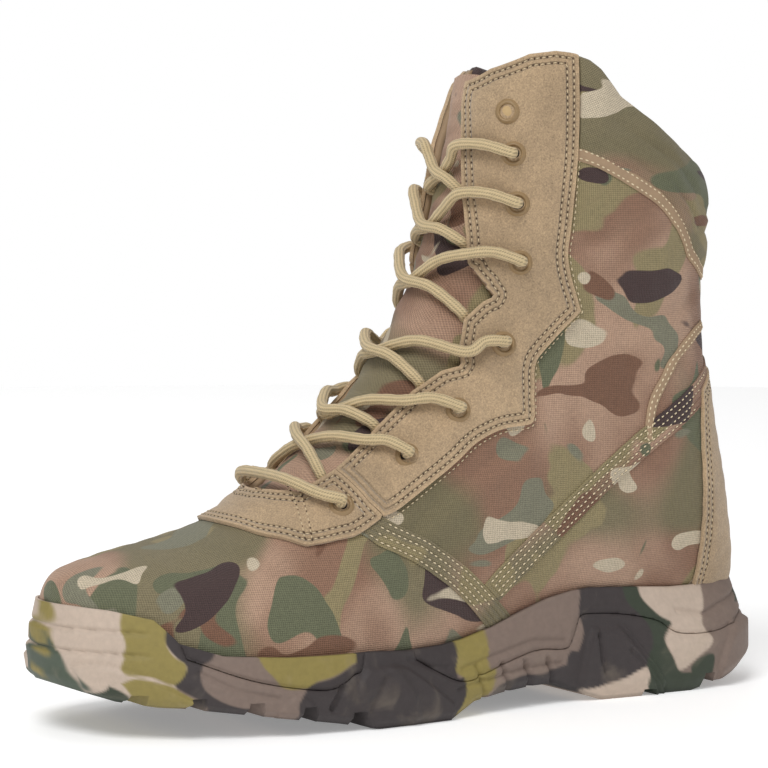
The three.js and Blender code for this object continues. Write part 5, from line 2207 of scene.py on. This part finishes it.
    def _relief(self, at: Array) -> Array:
        """How far the side stands out, in mm.

        Args:
            at: Points in mm.

        Returns:
            One length for each point.
        """
        flat = at[:, [0, 2]]
        out = np.zeros(len(at))
        for outline in RAISED:
            edge = outside(rounded(outline, True), flat)
            out = np.maximum(out, self.wing * smooth_step(-edge, -0.9, 0.7))
        out -= 0.9 * np.exp(-((nearest_on(rounded(PARTING, False), flat) / 0.8) ** 2))
        x, z = at[:, 0] / PERCENT[0], at[:, 2] / PERCENT[1]
        for start in STEPS:
            slope = start + 0.8 * np.clip((x - 41) / 15, 0, 1)
            shape = np.exp(-(((z - slope) * PERCENT[1] / 0.7) ** 2)) * smooth_step(x, 41.2, 43.0)
            out -= 1.1 * shape
            out += 0.5 * smooth_step(z, slope - 3.2, slope - 0.3) * smooth_step(x, 41, 44) * (z < slope)
        for rib in RIBS:
            out += rib.over(flat)
        out -= 1.6 * smooth_step(-nearest_on(in_mm(SLOT), flat), -1.9, -1.0)
        lug = np.linalg.norm((flat - in_mm(LUG)) / LUG_SIZE, axis=1)
        out += 1.0 * smooth_step(-lug, -1.0, -0.86)
        for ridge in RIDGES:
            out += ridge.over(flat)
        return out

    def _cavity(self) -> bpy.types.Object:
        """The room that the last takes up over the footbed.

        Returns:
            The object.
        """
        mesh, share = sheet_mesh("cavity", 96, 150)
        s = share[:, 1] * 15.5
        u = self.last.turn(s, 2 * share[:, 0] - 1)
        at = self.last.point(s, u)
        at = at + self.last.normal(s, u) * 0.25
        at[:, 2] = np.maximum(at[:, 2], bed(at[:, 0]) - 0.3)
        move_points(mesh, at)
        sealed(mesh)
        return object_of("cavity", mesh)

    def _grooves(self) -> bpy.types.Object:
        """The grooves between the lugs, as one cutter.

        Returns:
            The object.
        """
        bm = bmesh.new()
        for x, depth, y0, y1 in GROOVES:
            top = float(self._tread(np.array(x * PERCENT[0]))) + depth
            made = bmesh.ops.create_cube(bm, size=1.0)
            for vert in made["verts"]:
                high = vert.co.z > 0
                half = self.groove * (0.35 if high else 0.5) * (1 if high else 1.0 + 10 / 12)
                across = (y1 if vert.co.y > 0 else y0) * ACROSS
                spot = np.array([x * PERCENT[0] + (half if vert.co.x > 0 else -half), across]) + CENTRE[:2]
                vert.co = Vector([*(float(a) for a in spot), top if high else -10.0]) * MM
        return object_of("grooves", mesh_from("grooves", bm))

    def _over_parting(self, lower: float) -> bpy.types.Object:
        """Everything over the parting line, or over a line so many mm lower.

        Args:
            lower: How far under the parting line it starts, in mm.

        Returns:
            The object.
        """
        line = rounded(PARTING, False)
        line = line[np.concatenate([[True], np.diff(line[:, 0]) > 0.05])]
        over, reach = 70.0, 90.0
        return self._slab(line - (0, lower), np.column_stack([line[:, 0], np.full(len(line), over)]), reach)

    @staticmethod
    def _slab(low: Array, high: Array, reach: float) -> bpy.types.Object:
        """Everything between two side-view lines, across the boot.

        Args:
            low: The lower line in mm.
            high: The upper line in mm, with as many points.
            reach: How far it reaches to each side, in mm.

        Returns:
            The object.
        """
        bm = bmesh.new()
        bmesh.ops.create_grid(bm, x_segments=len(low) - 1, y_segments=1, size=0.5)
        made = bmesh.ops.extrude_face_region(bm, geom=bm.faces[:])
        far = {item for item in made["geom"] if isinstance(item, bmesh.types.BMVert)}
        for vert in bm.verts:
            k = min(len(low) - 1, round((vert.co.x + 0.5) * (len(low) - 1)))
            line = low if vert.co.y < 0 else high
            y = reach if vert in far else -reach
            vert.co = Vector([float(a) for a in np.array([line[k][0], y, line[k][1]]) + CENTRE]) * MM
        bmesh.ops.recalc_face_normals(bm, faces=bm.faces)
        return object_of("slab", mesh_from("slab", bm))

    @staticmethod
    def _cut(body: bpy.types.Object, tool: bpy.types.Object, way: str) -> None:
        """Cuts one closed mesh with another.

        Args:
            body: The mesh that is cut.
            tool: The cutter, which is deleted.
            way: Blender's name of the cut.
        """
        boolean = body.modifiers.new("cut", "BOOLEAN")
        boolean.object, boolean.operation, boolean.solver = tool, way, "MANIFOLD"
        applied(body)
        body.data.materials.clear()  # the cut leaves an empty slot
        bpy.data.objects.remove(tool)
        log.info("%s after %s: %d faces", body.name, way, len(body.data.polygons))

    def _colour(self, mesh: bpy.types.Mesh) -> None:
        """Keeps the rubber's colour at each vertex, darker in the tread.

        Args:
            mesh: The mesh.
        """
        at = points_of(mesh) / MM - CENTRE
        x, y, z = at.T
        flat = at[:, [0, 2]] + np.stack([0.7 * np.sin(z * 0.45 + y * 0.21), 0.5 * np.sin(x * 0.32)], axis=1)
        colour = np.tile(Earth.BEIGE.value, (len(at), 1))
        for zone in ZONES:
            edge = outside(rounded(zone.outline, True, 100.0), flat)
            share = smooth_step(-edge, -0.5, 0.5)[:, None]
            colour = colour * (1 - share) + np.array(zone.colour.value) * share
        under = at[:, 2] < self._tread(at[:, 0]) + 1.0
        colour = np.where(under[:, None], colour * 0.72, colour)
        store(mesh, "zone", colour)


def tube(name: str, knots: Array, radius: float, sides: int = 18) -> bpy.types.Object:
    """A round cord through points in mm, with its way round and along kept as a UV map.

    Args:
        name: The piece's name.
        knots: Points of its axis.
        radius: In mm.
        sides: Faces round it.

    Returns:
        The object.
    """
    run = length_along(knots)
    places = np.interp(np.linspace(0, run[-1], 400), run, np.arange(len(knots)))
    fine = np.stack([blend(knots[:, k], places) for k in range(3)], axis=1)
    run = length_along(fine)
    count = max(12, round(run[-1] / 0.9))
    even = np.linspace(0, run[-1], count + 1)
    axis = read_rows(even, run, fine)
    way = unit(np.gradient(axis, axis=0))
    frames = [unit(np.cross(way[0], (0.0, 0.0, 1.0)) + 1e-9)]
    for k in range(1, count + 1):
        carried = frames[-1] - way[k] * float(frames[-1] @ way[k])
        frames.append(unit(carried))
    first = np.array(frames)
    second = np.cross(way, first)
    mesh, share = sheet_mesh(name, sides, count)
    row = np.clip(np.round(share[:, 1] * count).astype(int), 0, count)
    angle = 2 * np.pi * share[:, 0]
    swell = 1 + 0.035 * np.sin(even[row] * 0.9) + 0.02 * np.sin(even[row] * 2.3 + 2)
    out = first[row] * np.cos(angle)[:, None] + second[row] * np.sin(angle)[:, None]
    at = axis[row] + out * (radius * swell)[:, None]
    layer = mesh.uv_layers.new(name="UVMap")
    corners = np.empty(len(mesh.loops), int)
    mesh.loops.foreach_get("vertex_index", corners)
    places = np.stack([share[corners, 0], even[row[corners]]], axis=1)
    layer.data.foreach_set("uv", places.astype(np.float32).ravel())
    move_points(mesh, at)
    sealed(mesh)
    return object_of(name, mesh)


@dataclass
class Lacing:
    """Eyelets, the laces between them and the bar over the lowest two.

    Attributes:
        last: The last.
        overlays: The suede that the eyelets sit on.
        radius: Of the lace.
        lift: Of the upper strand over the lower one.
        over: Height of a lace's axis over the last where it lies on suede.
        ring: Radius of an eyelet.
        hole: Radius of its hole.
        slack: How far a lace is pulled from the middle of its hole.
        height: Of an eyelet over the suede.
    """

    last: Last
    overlays: Overlays
    radius: float = 2.1
    lift: float = 3.1
    over: float = 4.5
    ring: float = 4.7
    hole: float = 2.85
    slack: float = 0.65
    height: float = 1.1

    def build(self) -> None:
        """Makes the eyelets and the laces."""
        paint = Plain("eyelet_paint", tone(150, 124, 88), 0.45, 700, 0.03, 0.12).material()
        # Painted shade: a dark disc fills the hole of each eyelet but the empty top one.
        dark = Plain("eyelet_well", tone(42, 33, 26), 0.9).material()
        tan = Plain("lace_loop", tone(188, 160, 116), 0.8, 1500, 0.15, 0.3).material()
        for side in Side:
            rings, shades_and_loop = bmesh.new(), bmesh.new()
            for k in range(len(EYELETS)):
                seat, frame = self._seat(k, side)
                self._ring(rings, seat, frame)
                self._painted_shade_or_loop(shades_and_loop, seat, frame, k == len(EYELETS) - 1)
            label = side.name.lower()
            nodes = [f"eyelet_{label}_{k + 1}" for k in range(len(EYELETS))]
            seated(dressed(self._object(f"eyelets_{label}", rings), paint), "eyelet_paint", *nodes)
            seated(dressed(self._object(f"eyelet_wells_{label}", shades_and_loop), dark, tan), "eyelet_paint")
        cord = Braid("lace_braid").material()
        bar = tube("lace_bar_cord", self._bar(), self.radius)
        seated(dressed(bar, cord), "lace_cord", "lace_bar")
        for k in range(len(CROSSINGS)):
            upper = tube(f"lace_over_{k + 1}", self._strand(k, Side.OUTER, self.lift), self.radius)
            seated(dressed(upper, cord), "lace_cord", f"lace_crossing_{k + 1}")
            lower = tube(f"lace_under_{k + 1}", self._strand(k, Side.INNER, 0.0), self.radius)
            seated(dressed(lower, cord), "lace_cord")

    def _eyelet(self, k: int, side: Side) -> tuple[float, float]:
        """The place of an eyelet."""
        row = EYELETS[k]
        return row[0], side.value * row[1 if side is Side.OUTER else 2]

    def _skin(self, s: float, u: float, high: float) -> Array:
        """A point over the last."""
        return self.last.skin(np.array([s]), np.array([u]), high)[0]

    def _seat(self, k: int, side: Side) -> tuple[Array, tuple[Array, Array, Array]]:
        """An eyelet's seat on the suede, and its two flat ways and its axis.

        Args:
            k: The eyelet's number, 0 for the lowest.
            side: The side of the boot.

        Returns:
            The seat in mm, and three unit vectors.
        """
        s, u = self._eyelet(k, side)
        axis = self.last.normal(np.array([s]), np.array([u]))[0]
        first = unit(np.cross(axis, (0.0, 0.0, 1.0)))
        seat = self._skin(s, u, self.overlays.clear + self.overlays.suede)
        return seat, (first, np.cross(axis, first), axis)

    def _ring(self, bm: bmesh.types.BMesh, seat: Array, frame: tuple[Array, Array, Array]) -> None:
        """Adds one eyelet.

        Args:
            bm: Where it goes.
            seat: Its middle in mm.
            frame: Its two flat ways and its axis.
        """
        profile = (
            (self.hole, -1.3), (self.hole, 0.35), (self.hole + 0.3, 0.8), (self.hole + 0.9, self.height),
            (self.ring - 0.9, 0.95), (self.ring - 0.25, 0.5), (self.ring, 0.05), (self.ring - 0.1, -0.4),
        )
        around = 28
        rows = []
        for k in range(around):
            angle = 2 * math.pi * k / around
            out = frame[0] * math.cos(angle) + frame[1] * math.sin(angle)
            spots = [(seat + out * r + frame[2] * z + CENTRE) * MM for r, z in profile]
            rows.append([bm.verts.new(spot) for spot in spots])
        for k in range(around):
            here, there = rows[k], rows[(k + 1) % around]
            for j in range(len(profile)):
                i = (j + 1) % len(profile)
                bm.faces.new((here[j], here[i], there[i], there[j]))

    def _painted_shade_or_loop(self, bm: bmesh.types.BMesh, seat: Array, frame: tuple[Array, Array, Array], tan: bool) -> None:
        """Adds a dark disc of painted shade in an eyelet's hole, or the loop that shows in an empty one."""
        deep, high = (-0.6, 0.9) if tan else (-0.25, 0.5)
        wide = self.hole + 0.05
        add_ball(bm, seat + frame[2] * deep, frame, (wide, wide, high), (20, 8), int(tan))

    @staticmethod
    def _object(name: str, bm: bmesh.types.BMesh) -> bpy.types.Object:
        """Turns a bmesh into an object whose faces point outwards."""
        bmesh.ops.recalc_face_normals(bm, faces=bm.faces)
        return object_of(name, mesh_from(name, bm))

    def _over(self, k: int, side: Side) -> list[Array]:
        """The end of a lace over an eyelet, which turns down into its hole.

        Args:
            k: The eyelet's number, 0 for the lowest.
            side: The side of the boot.

        Returns:
            Three points in mm, the last one in the hole.
        """
        s, u = self._eyelet(k, side)
        rise = self.overlays.clear + self.overlays.suede
        pull = unit(self._skin(s, 0.9 * u, rise) - self._skin(s, u, rise)) * self.slack
        levels = (self.height + 2.4, self.height + 0.6, -1.0)
        return [self._skin(s, u, rise + level) + pull for level in levels]

    def _strand(self, k: int, side: Side, lift: float) -> Array:
        """The axis of a lace from under one edge of the throat to the next eyelet across.

        Args:
            k: The crossing's number, 0 for the lowest.
            side: The side that it starts from.
            lift: How far it rises where the two laces cross, in mm.

        Returns:
            Points in mm.
        """
        s0, s_cross = CROSSINGS[k]
        s1, t1 = self._eyelet(k + 1, side)
        t1 = abs(t1)
        wide = float(read(THROAT, s0))
        rim = self.last.point(np.array([s0]), np.array([side.value * wide]))[0]
        t0 = wide * (1 - (self.radius + 0.6) / abs(rim[1]))

        def place(share: float) -> float:
            return s_cross + (s1 - s_cross) * share

        edge = float(read(THROAT, place(0.58)))
        out = [self._skin(s0, side.value * t0 * 1.12, -4.2)]
        for way, share, high, kept in ((0, 1, 0.2, 0), (0.5, 0.5, 0.2, 0.7)):
            out.append(self._skin(s0 + (s_cross - s0) * way, side.value * t0 * share, high + lift * kept))
        out.append(self._skin(s_cross, 0.0, 0.4 + lift))
        for way, share, high, kept in ((0.3, 0.55, 2, 0.6), (0.58, 1.05, self.over + 0.5, 0)):
            out.append(self._skin(place(way), -side.value * edge * share, high + lift * kept))
        out.append(self._skin(place(0.82), -side.value * (edge + t1) / 2, self.over + 1))
        return np.array(out + self._over(k + 1, Side(-side.value)))

    def _bar(self) -> Array:
        """The axis of the bar over the lowest pair of eyelets.

        Returns:
            Points in mm.
        """
        s, t = EYELETS[0][:2]
        edge = float(read(THROAT, s))
        ends = []
        for side in Side:
            ends.append(self._over(0, side)[::-1] + [
                self._skin((s + BAR_PLACE) / 2, side.value * (edge + t) / 2, self.over + 1.2),
                self._skin(BAR_PLACE, side.value * edge * 0.6, self.over + 0.4),
            ])
        return np.array(ends[0] + ends[1][::-1])


@dataclass(frozen=True)
class Lamp:
    """A square soft light that looks at the boot.

    Attributes:
        name: Its name.
        place: In metres.
        size: Its side in metres.
        power: In watts.
    """

    name: str
    place: tuple[float, float, float]
    size: float
    power: float


LAMPS = (
    Lamp("key", (1.1, 0.9, 1.9), 1.1, 33),
    Lamp("fill", (-1.6, 1.4, 1.0), 1.8, 5),
    Lamp("rim", (-0.5, -1.6, 1.6), 1.4, 10),
)


@dataclass
class Studio:
    """Camera, lights and floor of a product photo, in metres.

    Attributes:
        camera_at: The camera's place.
        target: What it looks at.
        lens: Its focal length in mm, on a sensor of 36 mm.
        lit: What the lights look at.
        ambient: The backdrop's strength as a light.
        floor: Radius of the floor.
        glow: How much the floor shines, so that it ends in white.
    """

    camera_at: tuple[float, float, float] = (0.7221, 1.1986, 0.2288)
    target: tuple[float, float, float] = (0.0085, -0.0015, 0.1188)
    lens: float = 176.7
    lit: tuple[float, float, float] = (0.0, 0.0, 0.1)
    ambient: float = 0.36
    floor: float = 1.5
    glow: float = 0.25

    def build(self) -> None:
        """Makes them."""
        self._floor()
        camera = bpy.data.cameras.new("camera")
        camera.lens, camera.sensor_width = self.lens, 36.0
        bpy.context.scene.camera = self._aimed("camera", camera, self.camera_at, self.target)
        for lamp in LAMPS:
            light = bpy.data.lights.new(lamp.name, "AREA")
            light.energy, light.size = lamp.power, lamp.size
            self._aimed(lamp.name, light, lamp.place, self.lit)
        self._backdrop()
        bpy.context.scene.view_settings.view_transform = "Standard"

    def _backdrop(self) -> None:
        """White behind the boot, and dimmer as a light on it."""
        world = bpy.data.worlds.new("backdrop")
        bpy.context.scene.world = world
        world.use_nodes = True
        tree = world.node_tree
        strength = tree.nodes.new("ShaderNodeMapRange")
        strength.inputs["To Min"].default_value, strength.inputs["To Max"].default_value = self.ambient, 1.0
        rays = tree.nodes.new("ShaderNodeLightPath")
        tree.links.new(rays.outputs["Is Camera Ray"], strength.inputs["Value"])
        tree.nodes["Background"].inputs[0].default_value = (1.0, 1.0, 1.0, 1.0)
        tree.links.new(strength.outputs[0], tree.nodes["Background"].inputs[1])

    def _floor(self) -> None:
        """A plain pale floor."""
        bm = bmesh.new()
        bmesh.ops.create_circle(bm, cap_ends=True, segments=64, radius=self.floor)
        floor = object_of("floor", mesh_from("floor", bm))
        g = Graph("floor")
        dressed(floor, g.finish(tone(250, 250, 250), 0.9, Emission_Strength=self.glow))

    @staticmethod
    def _aimed(
        name: str, data: bpy.types.ID, start: Sequence[float], target: Sequence[float],
    ) -> bpy.types.Object:
        """A camera or a light that looks from one point at another.

        Args:
            name: The object's name.
            data: The camera's or the light's data.
            start: Where it stands.
            target: Where it looks.

        Returns:
            The object.
        """
        aimed = bpy.data.objects.new(name, data)
        bpy.context.scene.collection.objects.link(aimed)
        aimed.location = start
        aimed.rotation_euler = (Vector(target) - Vector(start)).to_track_quat("-Z", "Y").to_euler()
        return aimed


# The upper's folds
CREASES = (
    Crease(((2, 44), (6, 40.5), (10, 35.5), (13, 32)), -1.2, 3.0),
    Crease(((-8.5, 41), (-3, 37.5), (3, 33), (7, 29)), -1.4, 3.4),
    Crease(((-9, 38), (-3, 34.6), (2, 30.6), (6.5, 26.6)), 0.9, 3.6),
    Crease(((-36, 62), (-30, 58.5), (-24, 58), (-19, 60)), -1.3, 3.6),
    Crease(((-36, 66.6), (-30, 64), (-25, 63)), 0.8, 3.4),
    Crease(((-33, 52), (-27, 51), (-21, 53.5), (-17, 57)), -0.9, 3.2),
    Crease(((-26, 74), (-21, 71), (-17, 70)), -0.9, 3.2),
    Crease(((18.5, 26.8), (23, 24.0), (27, 20.5)), -0.9, 3.4),
    Crease(((24, 30.5), (27, 26), (29.5, 21)), -1.0, 3.6),
    Crease(((12, 27), (15, 23), (17, 19)), -0.7, 3.2),
    Crease(((-24, 34), (-17, 29.5), (-11, 25)), -0.8, 3.4),
    Crease(((-14, 47), (-9.5, 38), (-8, 30)), 0.6, 4.5),
)


def main() -> None:
    """Loads the CAD frame, builds every piece on it and dresses the stage."""
    logging.basicConfig(level=logging.INFO, format="%(name)s %(message)s")
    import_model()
    last = Last(CREASES)
    bounds = Bounds(last)
    cloth_rows = Stitching("cloth_stitches", holes=False)
    suede_rows = Stitching("suede_stitches")
    Sole(last).build()
    Footbed(last).build()
    Upper(last, bounds).build(cloth_rows)
    overlays = Overlays(last, bounds)
    overlays.build(suede_rows)
    Collar(last).build()
    Tongue(last).build()
    Lacing(last, overlays).build()
    thread = Plain("thread", tone(222, 205, 172), 0.7, 2500, 0.02, 0.1).material()
    tan_thread = Plain("tan_thread", tone(200, 180, 146), 0.7, 2500, 0.02, 0.1).material()
    # The pinholes' dark dots are painted shade.
    pinhole_shade = Plain("pinhole_shade", tone(78, 60, 44), 0.9).material()
    seated(cloth_rows.build(thread, pinhole_shade), "upper_cloth")
    seated(suede_rows.build(tan_thread, pinhole_shade), "suede")
    Studio().build()


if __name__ == "__main__":
    main()
